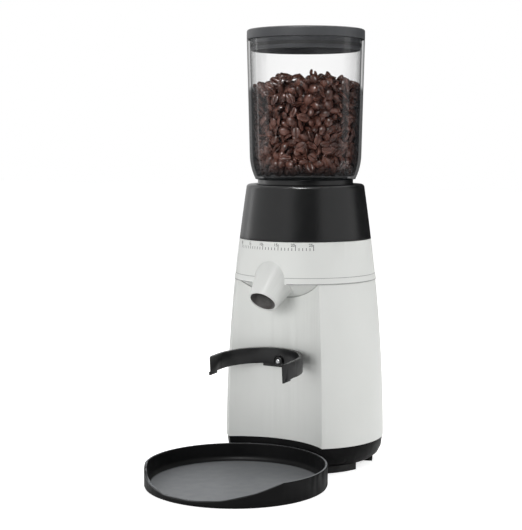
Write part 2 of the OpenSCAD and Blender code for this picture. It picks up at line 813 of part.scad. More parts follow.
module gear_case() {
    on_axis() color("#8f9396") difference() {
        union() {
            difference() {
                union() {
                    translate([0, 0, case_z]) linear_extrude(cover_z - case_z)
                        case_outline(case_r, case_motor_r);
                    case_ears(case_z, cover_z - case_z);
                }
                translate([0, 0, low_bearing_z]) linear_extrude(30)
                    case_outline(case_r - case_wall, case_motor_r - case_wall);
            }
            disc(bearing_r + hub_wall, low_bearing_z - 0.1, bearing_w + 0.1);
        }
        disc(bearing_r + run_fit, low_bearing_z, bearing_w + 1);
        translate([0, motor_back, case_z - 1]) cylinder(r = motor_boss_r + run_fit, h = case_floor + 2);
        for (x = [-motor_screw_x, motor_screw_x])
            translate([x, motor_back, case_z - 1]) cylinder(r = screw_r - 0.2, h = case_floor + 2);
        case_ear_holes(case_z - 1, 40);
    }
}

module gear_cover() {
    on_axis() color("#7f8386") difference() {
        union() {
            translate([0, 0, cover_z]) linear_extrude(cover_t) case_outline(case_r, case_motor_r);
            case_ears(cover_z, cover_t);
            disc(bearing_r + hub_wall, top_bearing_z, chamber_z - top_bearing_z);
        }
        disc(bearing_r + run_fit, top_bearing_z - 1, bearing_w + 1);
        disc(shaft_r + 2, top_bearing_z, 20);
        case_ear_holes(cover_z - 1, 10);
    }
}

module gear_case_screws() {
    on_axis() color("#c0c3c5") for (a = case_screws)
        translate(bearing(a, case_screw_reach, case_z)) rotate([180, 0, 0])
            translate([0, 0, -40]) screw(40);
}

// One ball bearing: outer ring, inner ring and two shields.
module ball_bearing(z) {
    tube(bearing_r - 2, bearing_r, z, bearing_w);
    tube(shaft_r + run_fit, shaft_r + 2.2, z, bearing_w);
    tube(shaft_r + 2, bearing_r - 1.9, z + 0.4, bearing_w - 0.8);
}

module shaft_bearings() {
    on_axis() color("#b9bcbf") {
        ball_bearing(low_bearing_z);
        ball_bearing(top_bearing_z);
    }
}

module shaft_seal() {
    on_axis() color("#a8442f") tube(shaft_r + run_fit, 8.9, chamber_z + 0.2, chamber_floor + 1);
}

// ---- Grind chamber ----

module grind_chamber() {
    on_axis() color("#6d7174") difference() {
        union() {
            disc(chamber_or, chamber_z, chamber_top - chamber_z);
            tube(chamber_or - 1, flange_r, deck_z - flange_t, flange_t);
            case_ears(cover_z + cover_t, deck_z - flange_t - cover_z - cover_t + 1);
            translate([0, 0, throat_z]) rotate([90, 0, 0])
                cylinder(r = throat_r + throat_wall, h = exit_reach);
        }
        disc(chamber_r, chamber_z + chamber_floor, 60);
        disc(9, chamber_z - 1, 20);
        translate([0, 0, throat_z]) rotate([90, 0, 0]) cylinder(r = throat_r, h = exit_reach + 1);
        case_ear_holes(cover_z, case_z + 40.5 - cover_z);
        tube(chamber_or - 1.4, chamber_or + 1, clip_z - 0.1, clip_t + 0.2);
        for (a = pin_bearings) rotate([0, 0, a]) translate([-pin_r - 0.1, -chamber_or - 1, pin_z - pin_drop])
            cube([2 * pin_r + 0.2, 8, 20]);
        for (a = [0:90:270]) translate(bearing(a + 45, 38.7, deck_z - flange_t - 1))
            cylinder(r = screw_r, h = 8);
    }
}

module chamber_screws() {
    on_axis() color("#c0c3c5") for (a = [0:90:270])
        translate(bearing(a + 45, 38.7, deck_z - flange_t + 0.3)) screw(deck_t + flange_t - 0.3);
}

// ---- Motor ----

module at_motor() {
    on_axis() translate([0, motor_back, 0]) children();
}

module motor_can() {
    at_motor() color("#9fa3a6") difference() {
        union() {
            disc(can_r, can_foot, can_len);
            disc(motor_boss_r, case_z - 0.1, case_floor - 0.4);
        }
        disc(can_r - can_wall, can_foot - 1, can_len + 1 - 2);
        disc(motor_shaft_r + run_fit, case_z - 10, 20);
        for (x = [-motor_screw_x, motor_screw_x])
            translate([x, 0, case_z - 4]) cylinder(r = screw_r - 0.2, h = 8);
    }
}

module motor_screws() {
    at_motor() color("#c0c3c5") for (x = [-motor_screw_x, motor_screw_x])
        translate([x, 0, case_z - 1.8]) screw(case_floor + 1.8, screw_r - 0.25);
}

module motor_magnets() {
    at_motor() color("#3b3d40") for (a = [20, 200]) rotate([0, 0, a])
        translate([0, 0, armature_z - 3]) rotate_extrude(angle = 140)
            translate([armature_r + 0.7, 0]) square([can_r - can_wall - armature_r - 0.7, armature_len + 6]);
}

module motor_end_cap() {
    brush_z = commutator_z + (commutator_h - brush_h) / 2;
    at_motor() color("#222324") difference() {
        union() {
            tube(can_r - 2.4, can_r, cap_foot, cap_h);
            disc(can_r - 1, cap_foot, 2.5);
            disc(motor_shaft_r + 2.5, cap_foot, 6);
            for (m = [0, 1]) mirror([m, 0, 0])
                translate([commutator_r + 1, -brush_w / 2 - 2, cap_foot + 1])
                    cube([brush_len + 4, brush_w + 4, brush_z + brush_h + 2 - cap_foot - 1]);
        }
        disc(motor_shaft_r + run_fit, cap_foot + 1, 10);
        for (m = [0, 1]) mirror([m, 0, 0])
            translate([commutator_r, -brush_w / 2 - 0.1, brush_z - 0.1])
                cube([brush_len + 6, brush_w + 0.2, brush_h + 0.2]);
    }
}

module brushes() {
    at_motor() color("#2f2f30") for (m = [0, 1]) mirror([m, 0, 0])
        translate([commutator_r + 0.1, -brush_w / 2, commutator_z + (commutator_h - brush_h) / 2])
            cube([brush_len, brush_w, brush_h]);
}

module commutator() {
    at_motor() color("#b8703c") difference() {
        disc(commutator_r, commutator_z, commutator_h);
        disc(motor_shaft_r, commutator_z - 1, 20);
        for (k = [0:9]) rotate([0, 0, k * 36]) translate([commutator_r - 0.8, -0.2, commutator_z - 1])
            cube([3, 0.4, 20]);
    }
}

module armature() {
    at_motor() color("#7b7e82") difference() {
        disc(armature_r, armature_z, armature_len);
        disc(motor_shaft_r, armature_z - 1, armature_len + 2);
        for (k = [0:9]) rotate([0, 0, k * 36 + 18]) translate([8, -2.2, armature_z - 1])
            cube([8.3, 4.4, armature_len + 2]);
        for (k = [0:9]) rotate([0, 0, k * 36 + 18]) translate([8, -0.6, armature_z - 1])
            cube([20, 1.2, armature_len + 2]);
    }
}

module windings() {
    at_motor() color("#b5652f") {
        for (z = [armature_z - 5.2, armature_z + armature_len + 0.2]) tube(7.6, 16.2, z, 5);
        for (k = [0:9]) rotate([0, 0, k * 36 + 18]) translate([8.6, -2, armature_z - 0.5])
            cube([7.4, 4, armature_len + 1]);
    }
}

module motor_shaft() {
    at_motor() color("#b3b6b9") disc(motor_shaft_r, cap_foot + 1.2, gear_z + gear_h + 1.3 - cap_foot - 1.2);
}

// ---- White shells and spout ----

module upper_housing() {
    apron = wall_back - 0.8;
    on_axis() color("#d9dad8") difference() {
        union() {
            difference() {
                union() {
                    tower_form(seam_z, crown_z, 0);
                    lip_form();
                    intersection() {
                        bowl_form(0);
                        front_side(apron);
                    }
                }
                housing_room();
                difference() {
                    tower_form(seam_z - 30, deck_z, shell_wall);
                    front_side(apron);
                }
                tower_form(deck_z + deck_t, crown_z + 1, shell_wall);
                disc(deck_bore, 100, 200);
            }
            difference() {
                tube(seam_r - shell_wall - slide_gap - 2.2, seam_r - shell_wall - slide_gap,
                    seam_z - 5, 7);
                front_side(0);
            }
            for (a = housing_bosses) {
                translate(bearing(a, housing_boss_reach, boss_mid_z + slide_gap))
                    cylinder(r = boss_r, h = 24);
                rotate([0, 0, a]) translate([-1.2, -seam_r + 2, seam_z])
                    cube([2.4, seam_r - 2 - housing_boss_reach, 16]);
            }
        }
        spout_cone(seam_gap / 2);
        for (a = housing_bosses) translate(bearing(a, housing_boss_reach, boss_mid_z - 1))
            cylinder(r = screw_r, h = 22);
        for (a = [0:90:270]) translate(bearing(a + 45, 38.7, deck_z - 1)) cylinder(r = screw_r + 0.2, h = 8);
    }
}

// The rounded band just above the seam, with a fine groove over it.
module lip_form() {
    rotate_extrude() polygon(concat(
        [[seam_r - 1, seam_z]],
        [for (k = [0:6]) let (z = seam_z + lip_band * k / 6)
            [wall_r(z) + lip_out * pow(sin(30 + 25 * k), 0.5), z]],
        [[seam_r - 1, seam_z + lip_band]]
    ));
}

module spout() {
    bore_r = spout_r - spout_wall;
    on_axis() color("#d9dad8") difference() {
        union() {
            difference() {
                spout_cone(0);
                housing_room(spout_root - shell_wall);
                translate([-50, -wall_back - 6, 100]) cube([100, 100, 120]);
                translate([-50, -100, deck_z - spout_root]) cube([100, 100, 50]);
            }
            translate([0, -exit_reach - slide_gap, throat_z]) rotate([90, 0, 0])
                cylinder(r = throat_r + throat_wall, h = throat_end - exit_reach);
        }
        translate([0, -exit_reach, throat_z]) rotate([90, 0, 0])
            cylinder(r = throat_r, h = throat_end - 6 - exit_reach);
        translate([0, -spout_reach, spout_z]) rotate([spout_slope - 90, 0, 0])
            translate([0, 0, -20]) cylinder(r1 = bore_r + 2, r2 = throat_r + 0.4, h = 62);
        translate([0, -spout_reach, spout_z]) rotate([mouth_slope - 90, 0, 0])
            translate([0, 0, -30]) cylinder(r = 40, h = 30);
    }
}

module body_shell() {
    top = seam_z - seam_gap;
    on_axis() color("#d9dad8") difference() {
        union() {
            difference() {
                tower_form(foot_z, top, 0);
                difference() {
                    tower_form(foot_z - 1, top + 1, shell_wall);
                    hollow_form(shell_wall, 0, 300);
                }
            }
            for (a = base_bosses) difference() {
                union() {
                    translate(bearing(a, base_screw_reach, foot_z + pan_spigot + rib_step))
                        cylinder(r = boss_r, h = base_boss_h);
                    rotate([0, 0, a]) translate([-rib_t / 2, -foot_r + 2, foot_z + pan_spigot + 2 * rib_step])
                        cube([rib_t, foot_r - 2 - base_screw_reach, base_boss_h - 2 * rib_step]);
                }
                translate(bearing(a, base_screw_reach, foot_z)) cylinder(r = screw_r, h = 20);
            }
            for (a = housing_bosses) difference() {
                union() {
                    translate(bearing(a, housing_boss_reach, boss_low_z))
                        cylinder(r = boss_r, h = boss_mid_z - boss_low_z);
                    rotate([0, 0, a]) translate([-rib_t / 2, -seam_r + 1, boss_low_z + rib_step])
                        cube([
                            rib_t, seam_r - 1 - housing_boss_reach, boss_mid_z - boss_low_z - 2 * rib_step
                        ]);
                }
                translate(bearing(a, housing_boss_reach, boss_low_z - 1)) cylinder(r = screw_r + 0.2, h = 30);
            }
        }
        hollow_form(0, 0, 300);
        intersection() {
            bowl_form(2 * seam_gap);
            front_side(wall_back - 1.2);
        }
        for (x = [-fork_screw_x, fork_screw_x]) translate([x, -20, button_z]) rotate([90, 0, 0])
            cylinder(r = screw_r + 0.2, h = 30);
        translate([0, -20, button_z]) rotate([90, 0, 0]) cylinder(r = button_r + slide_gap, h = 30);
        at_rocker() cube([rocker_w + 4.2, 30, rocker_h + 4.2], center = true);
        translate([0, 50, cord_z]) rotate([-90, 0, 0]) cylinder(r = bush_r + run_fit, h = 40);
        translate([0, bush_out, cord_z]) rotate([-90, 0, 0])
            cylinder(r = bush_flange_r + 0.2, h = 40);
    }
}

module housing_screws() {
    on_axis() color("#c0c3c5") for (a = housing_bosses)
        translate(bearing(a, housing_boss_reach, boss_low_z)) rotate([180, 0, 0])
            translate([0, 0, -32]) screw(32);
}

// ---- Base ----

// Outline of the black pan, drawn in by an inset.
function pan_side(inset) = [
    [skirt_r - inset, skirt_z], [skirt_r + 4 - inset, skirt_z + 3.2],
    [foot_r - 1.8 - inset, skirt_z + 8.6], [foot_r - 0.6 - inset, foot_z - seam_gap]
];

module base_pan() {
    spigot_r = foot_r - shell_wall - slide_gap;
    on_axis() color("#262728") difference() {
        union() {
            rotate_extrude() polygon(concat([[0, skirt_z]], pan_side(0), [[0, foot_z - seam_gap]]));
            disc(spigot_r, foot_z - 1, pan_spigot);
        }
        difference() {
            union() {
                rotate_extrude() polygon(concat(
                    [[0, skirt_z + pan_wall]],
                    [for (p = pan_side(pan_wall)) [p[0], max(p[1], skirt_z + pan_wall)]],
                    [[0, foot_z]]
                ));
                disc(spigot_r - pan_wall, foot_z - 2, 20);
            }
            hollow_form(pan_wall + shell_wall, 0, 300);
            for (a = base_bosses) translate(bearing(a, base_screw_reach, 0))
                cylinder(r = boss_r, h = foot_z + pan_spigot);
            for (x = [-1, 1], y = [-1, 1]) translate([
                x * (board_x / 2 - 4), board_back + y * (board_y / 2 - 4), 0]) cylinder(r = 3, h = board_z);
        }
        hollow_form(0, 0, foot_z - seam_gap);
        hollow_form(shell_wall + slide_gap, foot_z - seam_gap, 100);
        for (a = base_bosses) translate(bearing(a, base_screw_reach, 0)) {
            cylinder(r = screw_r + 0.2, h = 60);
            cylinder(r = head_r + 0.4, h = skirt_z + head_h + 0.6);
        }
    }
}

module base_screws() {
    on_axis() color("#c0c3c5") for (a = base_bosses)
        translate(bearing(a, base_screw_reach, skirt_z + head_h + 0.6)) rotate([180, 0, 0])
            translate([0, 0, -34]) screw(34);
}

module rubber_feet() {
    arcs = [
        [pad_front_from, pad_front_to], [-pad_front_to, -pad_front_from],
        [pad_rear_from, pad_rear_to], [-pad_rear_to, -pad_rear_from]
    ];
    on_axis() color("#1a1a1b") for (a = arcs) rotate([0, 0, a[0] - 90])
        rotate_extrude(angle = a[1] - a[0]) translate([pad_r - pad_w, 0]) square([pad_w, skirt_z]);
}

// ---- Tray ----

module grounds_tray() {
    slope = atan((tray_h - tray_lip) / (tray_r - tray_fall));
    corner_r = tray_r - tray_wall - tray_corner;
    on_axis() color("#2b2c2e") translate([0, -hollow_reach, 0]) difference() {
        rotate_extrude() polygon(concat(
            [[0, 0], [tray_r - 1.6, 0], [tray_r - 0.5, 0.5], [tray_r, 1.6]],
            [[tray_r, tray_h - 0.6], [tray_r - 0.5, tray_h]],
            [[tray_r - tray_wall + 0.5, tray_h], [tray_r - tray_wall, tray_h - 0.6]],
            [for (a = [0:-15:-90]) [
                corner_r + tray_corner * cos(a), tray_floor + tray_corner + tray_corner * sin(a)]],
            [[0, tray_floor]]
        ));
        translate([-100, -tray_fall, tray_h]) rotate([slope, 0, 0])
            translate([0, -200, 0]) cube([200, 200, 40]);
    }
}

// ---- Cradle and trigger ----

// Place in the cradle's own frame, which tips forward about the back of its band.
module at_fork() {
    translate([0, -fork_back, fork_z]) rotate([fork_droop, 0, 0])
        translate([0, fork_back, -fork_z]) children();
}

// Solid of the cradle's bore, open to the front.
module fork_room() {
    low = fork_z - 2 * fork_h;
    at_fork() {
        translate([0, -fork_reach, low]) cylinder(r = fork_bore, h = 4 * fork_h);
        translate([-fork_bore, -fork_reach - 60, low]) cube([2 * fork_bore, 60, 4 * fork_h]);
    }
}

// One arm: straight from the band's side to a tip cut back on its outer edge, with a pad inside.
module fork_arm() {
    low = fork_z - fork_h;
    out_r = fork_bore + fork_wall;
    translate([0, 0, low]) linear_extrude(height = fork_h) polygon([
        [fork_bore, -fork_reach + 0.1], [fork_bore, -fork_tip_reach],
        [out_r, -fork_tip_reach + fork_tip_cut], [out_r, -fork_reach + 0.1]
    ]);
    translate([fork_bore, -fork_tip_reach, low - tip_pad_drop])
        cube([tip_pad_t, tip_pad_len, tip_pad_drop + 1]);
}

// The mount between the shell's hollow and the band: a block behind the band and a foot below it.
module fork_mount() {
    low = fork_z - fork_h;
    difference() {
        intersection() {
            union() {
                translate([-fork_pad_w, -60, low]) cube([2 * fork_pad_w, 60, fork_h - fork_pad_step]);
                translate([-fork_pad_w, -fork_pad_reach, low - fork_pad_drop])
                    cube([2 * fork_pad_w, fork_pad_reach, fork_pad_drop + 2]);
            }
            hollow_form(0, 0, 300);
        }
        fork_room();
    }
}

module portafilter_fork() {
    low = fork_z - fork_h;
    on_axis() color("#222324") difference() {
        union() {
            at_fork() {
                difference() {
                    translate([0, -fork_reach, 0]) tube(fork_bore, fork_bore + fork_wall, low, fork_h);
                    translate([-60, -fork_reach - 60, 0]) cube([120, 60, 200]);
                }
                for (side = [0, 1]) mirror([side, 0, 0]) fork_arm();
            }
            fork_mount();
        }
        translate([0, -20, button_z]) rotate([90, 0, 0]) cylinder(r = button_r + slide_gap, h = 40);
        translate([0, -fork_back + button_recess, button_z]) rotate([90, 0, 0])
            cylinder(r = button_recess_r, h = 20);
        for (x = [-fork_screw_x, fork_screw_x]) translate([x, -20, button_z]) rotate([90, 0, 0])
            cylinder(r = screw_r, h = fork_screw_end - 20 + 0.4);
    }
}

module fork_screws() {
    on_axis() color("#c0c3c5") for (x = [-fork_screw_x, fork_screw_x])
        translate([x, -fork_screw_end, button_z]) rotate([-90, 0, 0]) screw(fork_screw_end + screw_seat(x));
}

// Place on the Y axis of the shell's inner face behind the cradle, at a distance from the middle.
function screw_seat(x) = -hollow_reach + sqrt(pow(hollow_r + shell_wall, 2) - pow(abs(x) - head_r, 2));

module at_button(reach) {
    on_axis() translate([0, -reach, button_z]) rotate([-90, 0, 0]) children();
}

module trigger_button() {
    at_button(button_face) color("#161617") difference() {
        union() {
            translate([0, 0, 0.6]) cylinder(r = button_r, h = button_face - flange_face);
            cylinder(r1 = button_r - 0.6, r2 = button_r, h = 0.6);
            translate([0, 0, button_face - flange_face]) cylinder(r = button_flange_r, h = button_flange_t);
            translate([0, 0, button_face - flange_face]) cylinder(r = stem_r, h = stem_len);
        }
        translate([0, 0, -1]) cylinder(r = tip_r, h = 4);
    }
}

module button_tip() {
    at_button(button_face + tip_out) color("#c9cccf") {
        translate([0, 0, 0.3]) cylinder(r = tip_r, h = tip_out + 2.7);
        cylinder(r1 = tip_r - 0.4, r2 = tip_r, h = 0.3);
    }
}

// Round bar swept along a path: a ring of points square to the path at each of its points.
module swept_bar(path, r, sides) {
    last = len(path) - 1;
    points = [for (k = [0:last], s = [0:sides - 1])
        let (way = path[min(k + 1, last)] - path[max(k - 1, 0)])
        let (d = way / norm(way))
        let (side = cross(d, abs(d[2]) > 0.9 ? [1, 0, 0] : [0, 0, 1]))
        let (u = side / norm(side), v = cross(d, u), a = 360 * s / sides)
        path[k] + r * cos(a) * u + r * sin(a) * v];
    skin = [for (k = [0:last - 1], s = [0:sides - 1]) let (n = (s + 1) % sides)
        [k * sides + s, k * sides + n, (k + 1) * sides + n, (k + 1) * sides + s]];
    polyhedron(
        points = points,
        faces = concat(
            skin,
            [[for (s = [sides - 1:-1:0]) s]],
            [[for (s = [0:sides - 1]) last * sides + s]]
        ),
        convexity = 8);
}

// Coil spring of a few open turns.
module button_spring() {
    coil_wire = 0.35;
    coil_r = stem_r + 1.4;
    turns = 5;
    rise = spring_len - 2 * coil_wire;
    at_button(flange_face - button_flange_t - slide_gap) color("#b3b6b9") swept_bar(
        [for (k = [0:60]) let (a = 360 * turns * k / 60)
            [coil_r * cos(a), coil_r * sin(a), coil_wire + rise * k / 60]],
        coil_wire, 6);
}

module switch_bracket() {
    on_axis() color("#9da1a4") difference() {
        union() {
            translate([-bracket_w, -bracket_face, button_z - 9]) cube([2 * bracket_w, bracket_t, 18]);
            for (m = [0, 1]) mirror([m, 0, 0]) translate([bracket_w - 2, -wall_back - 6, button_z - 9])
                cube([2, wall_back + 6 - bracket_face + bracket_t, 18]);
            for (m = [0, 1]) mirror([m, 0, 0])
                translate([switch_w / 2 + slide_gap, -bracket_face, button_z - 9])
                    cube([1.2, bracket_t + switch_len * 0.6, 18]);
        }
        hollow_form(shell_wall, 0, 300);
        translate([0, 0, button_z]) rotate([90, 0, 0]) cylinder(r = stem_r + slide_gap, h = 60);
        translate([-fork_screw_x, 0, button_z]) rotate([90, 0, 0]) cylinder(r = head_r + 0.5, h = 60);
        translate([fork_screw_x, 0, button_z]) rotate([90, 0, 0]) cylinder(r = head_r + 0.5, h = 60);
    }
}

module microswitch() {
    face = bracket_face - bracket_t;
    on_axis() color("#2e3033") difference() {
        union() {
            translate([-switch_w / 2, -face, button_z - switch_h / 2]) cube([switch_w, switch_len, switch_h]);
            for (x = [-6, 0, 6]) translate([x - 1.5, -face + switch_len - 0.1, button_z - 0.4])
                cube([3, 4, 0.8]);
        }
        translate([0, -face + plunger_len + button_travel + 0.6, button_z]) rotate([90, 0, 0])
            cylinder(r = stem_r + slide_gap, h = 30);
    }
}

module switch_plunger() {
    at_button(bracket_face - bracket_t) color("#c23b2e") cylinder(r = plunger_r, h = plunger_len);
}

// ---- Power switch, cord entry and electrics ----

module at_rocker() {
    rotate([0, 0, 180 - rocker_bearing]) translate([0, rocker_face, rocker_z]) children();
}

module rocker_housing() {
    on_axis() color("#1b1b1c") at_rocker() difference() {
        union() {
            translate([-rocker_w / 2 - 4, -0.2, -rocker_h / 2 - 4])
                cube([rocker_w + 8, switch_plate_t, rocker_h + 8]);
            translate([-rocker_w / 2 - 1.8, -18, -rocker_h / 2 - 1.8])
                cube([rocker_w + 3.6, 18.5, rocker_h + 3.6]);
        }
        translate([-rocker_w / 2, -rocker_depth - 3, -rocker_h / 2]) cube([rocker_w, 30, rocker_h]);
        translate([-20, -rocker_depth / 2, 0]) rotate([0, 90, 0]) cylinder(r = 1.5 + run_fit, h = 40);
    }
}

module power_rocker() {
    on_axis() color("#2b2c2d") at_rocker() translate([0, -rocker_depth / 2, 0]) {
        rotate([rocker_tilt, 0, 0]) difference() {
            translate([-rocker_w / 2 + slide_gap, -rocker_depth / 2 + 1, -rocker_h / 2 + 0.8])
                cube([rocker_w - 2 * slide_gap, rocker_depth, rocker_h - 1.6]);
            translate([-20, rocker_depth / 2 + 30.2, 0]) rotate([0, 90, 0]) cylinder(r = 30, h = 40);
        }
        translate([-rocker_w / 2 - 1.6, 0, 0]) rotate([0, 90, 0]) cylinder(r = 1.5, h = rocker_w + 3.2);
    }
}

module cord_bush() {
    on_axis() color("#141415") difference() {
        union() {
            translate([0, bush_out, cord_z]) rotate([-90, 0, 0]) cylinder(r = bush_flange_r, h = 1.1);
            translate([0, bush_end, cord_z]) rotate([-90, 0, 0]) cylinder(r = bush_r, h = bush_len + 0.5);
            translate([0, bush_out - shell_wall - 1.8, cord_z]) rotate([-90, 0, 0])
                cylinder(r = bush_flange_r, h = 2);
        }
        translate([0, bush_end - 8, cord_z]) rotate([-90, 0, 0]) cylinder(r = cord_hole_r, h = 40);
    }
}

module control_board() {
    on_axis() color("#2f6b45") translate([0, board_back, board_z]) {
        translate([-board_x / 2, -board_y / 2, 0]) cube([board_x, board_y, board_t]);
        translate([-26, -14, board_t]) cube([18, 14, 12]);
        translate([-2, -16, board_t]) cube([12, 12, 14]);
        translate([18, -10, board_t]) cylinder(r = 6, h = 18);
        translate([20, 10, board_t]) cylinder(r = 4, h = 12);
        translate([-24, 8, board_t]) cube([22, 9, 9]);
        translate([4, 6, board_t]) cube([9, 12, 7]);
    }
}

// A wire that leaves its first point, passes close to its middle points and ends at its last.
module wire(points) {
    steps = 6;
    n = len(points) - 1;
    swept_bar(concat(
        [points[0]],
        [for (k = [1:n - 1], t = [0:steps])
            let (from = (points[k - 1] + points[k]) / 2, to = (points[k] + points[k + 1]) / 2)
            let (u = t / steps)
            (1 - u) * (1 - u) * from + 2 * u * (1 - u) * points[k] + u * u * to],
        [points[n]]
    ), wire_r, 8);
}

module wiring() {
    top = board_z + board_t;
    on_axis() color("#b03a2e") {
        wire([[4, bush_end - slide_gap, cord_z - 1], [4, 50, cord_z - 1], [8, 44, 40], [10, 40, top + 8]]);
        wire([[-20, 42, top + 10.2], [-30, 38, 46], [-42, 26, rocker_z - 6]]);
        wire([[30, 20, top + 1.2], [34, 10, 40], [30, -6, 70], [14, -8, 86], [6, -5.4, button_z - 2]]);
        wire([[-30, 20, top + 1.2], [-30, 12, 48], [-16, 24, cap_foot - 8], [-12, 24, cap_foot - 0.4]]);
    }
}

lid();
lid_seal();
hopper();
hopper_neck();
coffee_beans();
grind_collar();
collar_clip();
detent_spring();
burr_carrier();
carrier_pins();
ring_burr();
cone_burr();
burr_nut();
impeller();
burr_shaft();
drive_gear();
shaft_bearings();
shaft_seal();
grind_chamber();
chamber_screws();
gear_cover();
gear_case();
gear_case_screws();
motor_pinion();
motor_shaft();
armature();
windings();
commutator();
brushes();
motor_magnets();
motor_can();
motor_end_cap();
motor_screws();
upper_housing();
spout();
body_shell();
housing_screws();
base_pan();
base_screws();
rubber_feet();
grounds_tray();
portafilter_fork();
fork_screws();
trigger_button();
button_tip();
button_spring();
switch_bracket();
microswitch();
switch_plunger();
power_rocker();
rocker_housing();
cord_bush();
control_board();
wiring();
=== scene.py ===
import math

import bmesh
import bpy
import numpy as np
from mathutils import Matrix, Vector
from mathutils.bvhtree import BVHTree


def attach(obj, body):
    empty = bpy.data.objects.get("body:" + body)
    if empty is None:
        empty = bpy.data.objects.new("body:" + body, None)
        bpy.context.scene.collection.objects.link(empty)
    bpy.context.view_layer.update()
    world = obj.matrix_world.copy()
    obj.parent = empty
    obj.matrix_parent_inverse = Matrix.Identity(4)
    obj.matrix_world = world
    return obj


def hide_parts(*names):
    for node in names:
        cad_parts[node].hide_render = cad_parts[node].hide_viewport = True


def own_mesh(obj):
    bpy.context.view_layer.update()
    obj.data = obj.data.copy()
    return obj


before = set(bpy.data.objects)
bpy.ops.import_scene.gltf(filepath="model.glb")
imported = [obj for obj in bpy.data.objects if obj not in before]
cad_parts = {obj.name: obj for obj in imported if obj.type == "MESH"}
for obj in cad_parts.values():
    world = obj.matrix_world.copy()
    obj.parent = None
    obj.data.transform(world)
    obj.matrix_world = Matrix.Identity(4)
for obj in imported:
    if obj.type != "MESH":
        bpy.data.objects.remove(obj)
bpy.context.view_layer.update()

MM = 0.001
AXIS_Y = 0.05975        # the tower stands behind the middle of the footprint
WELD = 1e-6             # vertices nearer than this are one
scene = bpy.context.scene
scene.view_settings.view_transform = "Standard"


# ---- Modelling helpers ----

def deselect():
    if bpy.context.object and bpy.context.object.mode != "OBJECT":
        bpy.ops.object.mode_set(mode="OBJECT")
    bpy.ops.object.select_all(action="DESELECT")


def pick(piece):
    deselect()
    piece.select_set(True)
    bpy.context.view_layer.objects.active = piece


def place_in_mesh(piece):
    """Moves the piece's place, turn and scale into its own mesh."""
    pick(piece)
    bpy.ops.object.transform_apply(location=True, rotation=True, scale=True)


def turned(name, corners, sides):
    """A closed round piece on the tower axis: its half section (across, up) in mm is drawn and spun."""
    points = [Vector(corner) for corner in (*corners, corners[0])]
    deselect()
    first = Vector((points[0].x * MM, AXIS_Y, points[0].y * MM))
    bpy.ops.mesh.primitive_plane_add(size=MM, location=first)
    piece = bpy.context.object
    piece.name = piece.data.name = name
    place_in_mesh(piece)
    bpy.ops.object.mode_set(mode="EDIT")
    bpy.ops.mesh.select_all(action="SELECT")
    bpy.ops.mesh.merge(type="CENTER")
    for here, there in zip(points, points[1:]):
        step = (there - here) * MM
        bpy.ops.mesh.extrude_vertices_move(TRANSFORM_OT_translate={"value": (step.x, 0, step.y)})
    bpy.ops.mesh.select_all(action="SELECT")
    bpy.ops.mesh.spin(steps=sides, angle=2 * math.pi, center=(0, AXIS_Y, 0), axis=(0, 0, 1))
    bpy.ops.mesh.select_all(action="SELECT")
    bpy.ops.mesh.remove_doubles(threshold=WELD)
    bpy.ops.mesh.normals_make_consistent(inside=False)
    bpy.ops.object.mode_set(mode="OBJECT")
    smooth(piece, 35)
    return piece


def smooth(piece, degrees):
    pick(piece)
    bpy.ops.object.shade_smooth_by_angle(angle=math.radians(degrees))


def dress(piece, material):
    piece.data.materials.clear()
    piece.data.materials.append(material)


def finished(piece, body, slot, *nodes):
    """Says what the piece rides on, and the nodes whose place it takes; the slot argument is not used."""
    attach(piece, body)
    if nodes:
        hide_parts(*nodes)
    return piece


# ---- Finishes ----

MIDDLE = 0.35, 0.65     # most values of a noise lie between these
BROADER = 0.04          # the gloss wanders this much more slowly than the fine texture
EVEN = 1, 1, 1
NEARLY_LEVEL = 0.9, 0.99    # upward part of a face's normal


def new_material(name, color, roughness, **sockets):
    material = bpy.data.materials.new(name)
    material.use_nodes = True
    shader = material.node_tree.nodes["Principled BSDF"]
    shader.inputs["Base Color"].default_value = (*color, 1)
    shader.inputs["Roughness"].default_value = roughness
    for socket, value in sockets.items():
        shader.inputs[socket.replace("_", " ")].default_value = value
    return material


def add(material, kind, **values):
    node = material.node_tree.nodes.new(kind)
    for key, value in values.items():
        if key in node.inputs:
            node.inputs[key].default_value = value
        else:
            setattr(node, key, value)
    return node


def wire(material, source, socket, target, into):
    material.node_tree.links.new(source.outputs[socket], target.inputs[into])


def spread(material, source, socket, span, low, high):
    """Turns a value that runs over a span into one that runs from low to high."""
    ends = {"From Min": span[0], "From Max": span[1], "To Min": low, "To Max": high}
    mapped = add(material, "ShaderNodeMapRange", **ends)
    wire(material, source, socket, mapped, "Value")
    return mapped


def combined(material, operation, *sources):
    node = add(material, "ShaderNodeMath", operation=operation)
    for k, (source, socket) in enumerate(sources):
        wire(material, source, socket, node, k)
    return node


def object_place(material, stretch):
    place = add(material, "ShaderNodeTexCoord")
    mapping = add(material, "ShaderNodeMapping")
    mapping.inputs["Scale"].default_value = stretch
    wire(material, place, "Object", mapping, "Vector")
    return mapping


def grain(material, scale, depth, low, high, detail=3, stretch=EVEN):
    """Moulded or worked texture: a fine bump, and a gloss that wanders between two roughnesses."""
    shader = material.node_tree.nodes["Principled BSDF"]
    place = object_place(material, stretch)
    fine = add(material, "ShaderNodeTexNoise", Scale=scale, Detail=detail)
    bump = add(material, "ShaderNodeBump", Strength=1.0, Distance=depth)
    wire(material, place, "Vector", fine, "Vector")
    wire(material, fine, "Fac", bump, "Height")
    wire(material, bump, "Normal", shader, "Normal")
    broad = add(material, "ShaderNodeTexNoise", Scale=scale * BROADER, Detail=4)
    wire(material, place, "Vector", broad, "Vector")
    wire(material, spread(material, broad, "Fac", MIDDLE, low, high), "Result", shader, "Roughness")
    return material


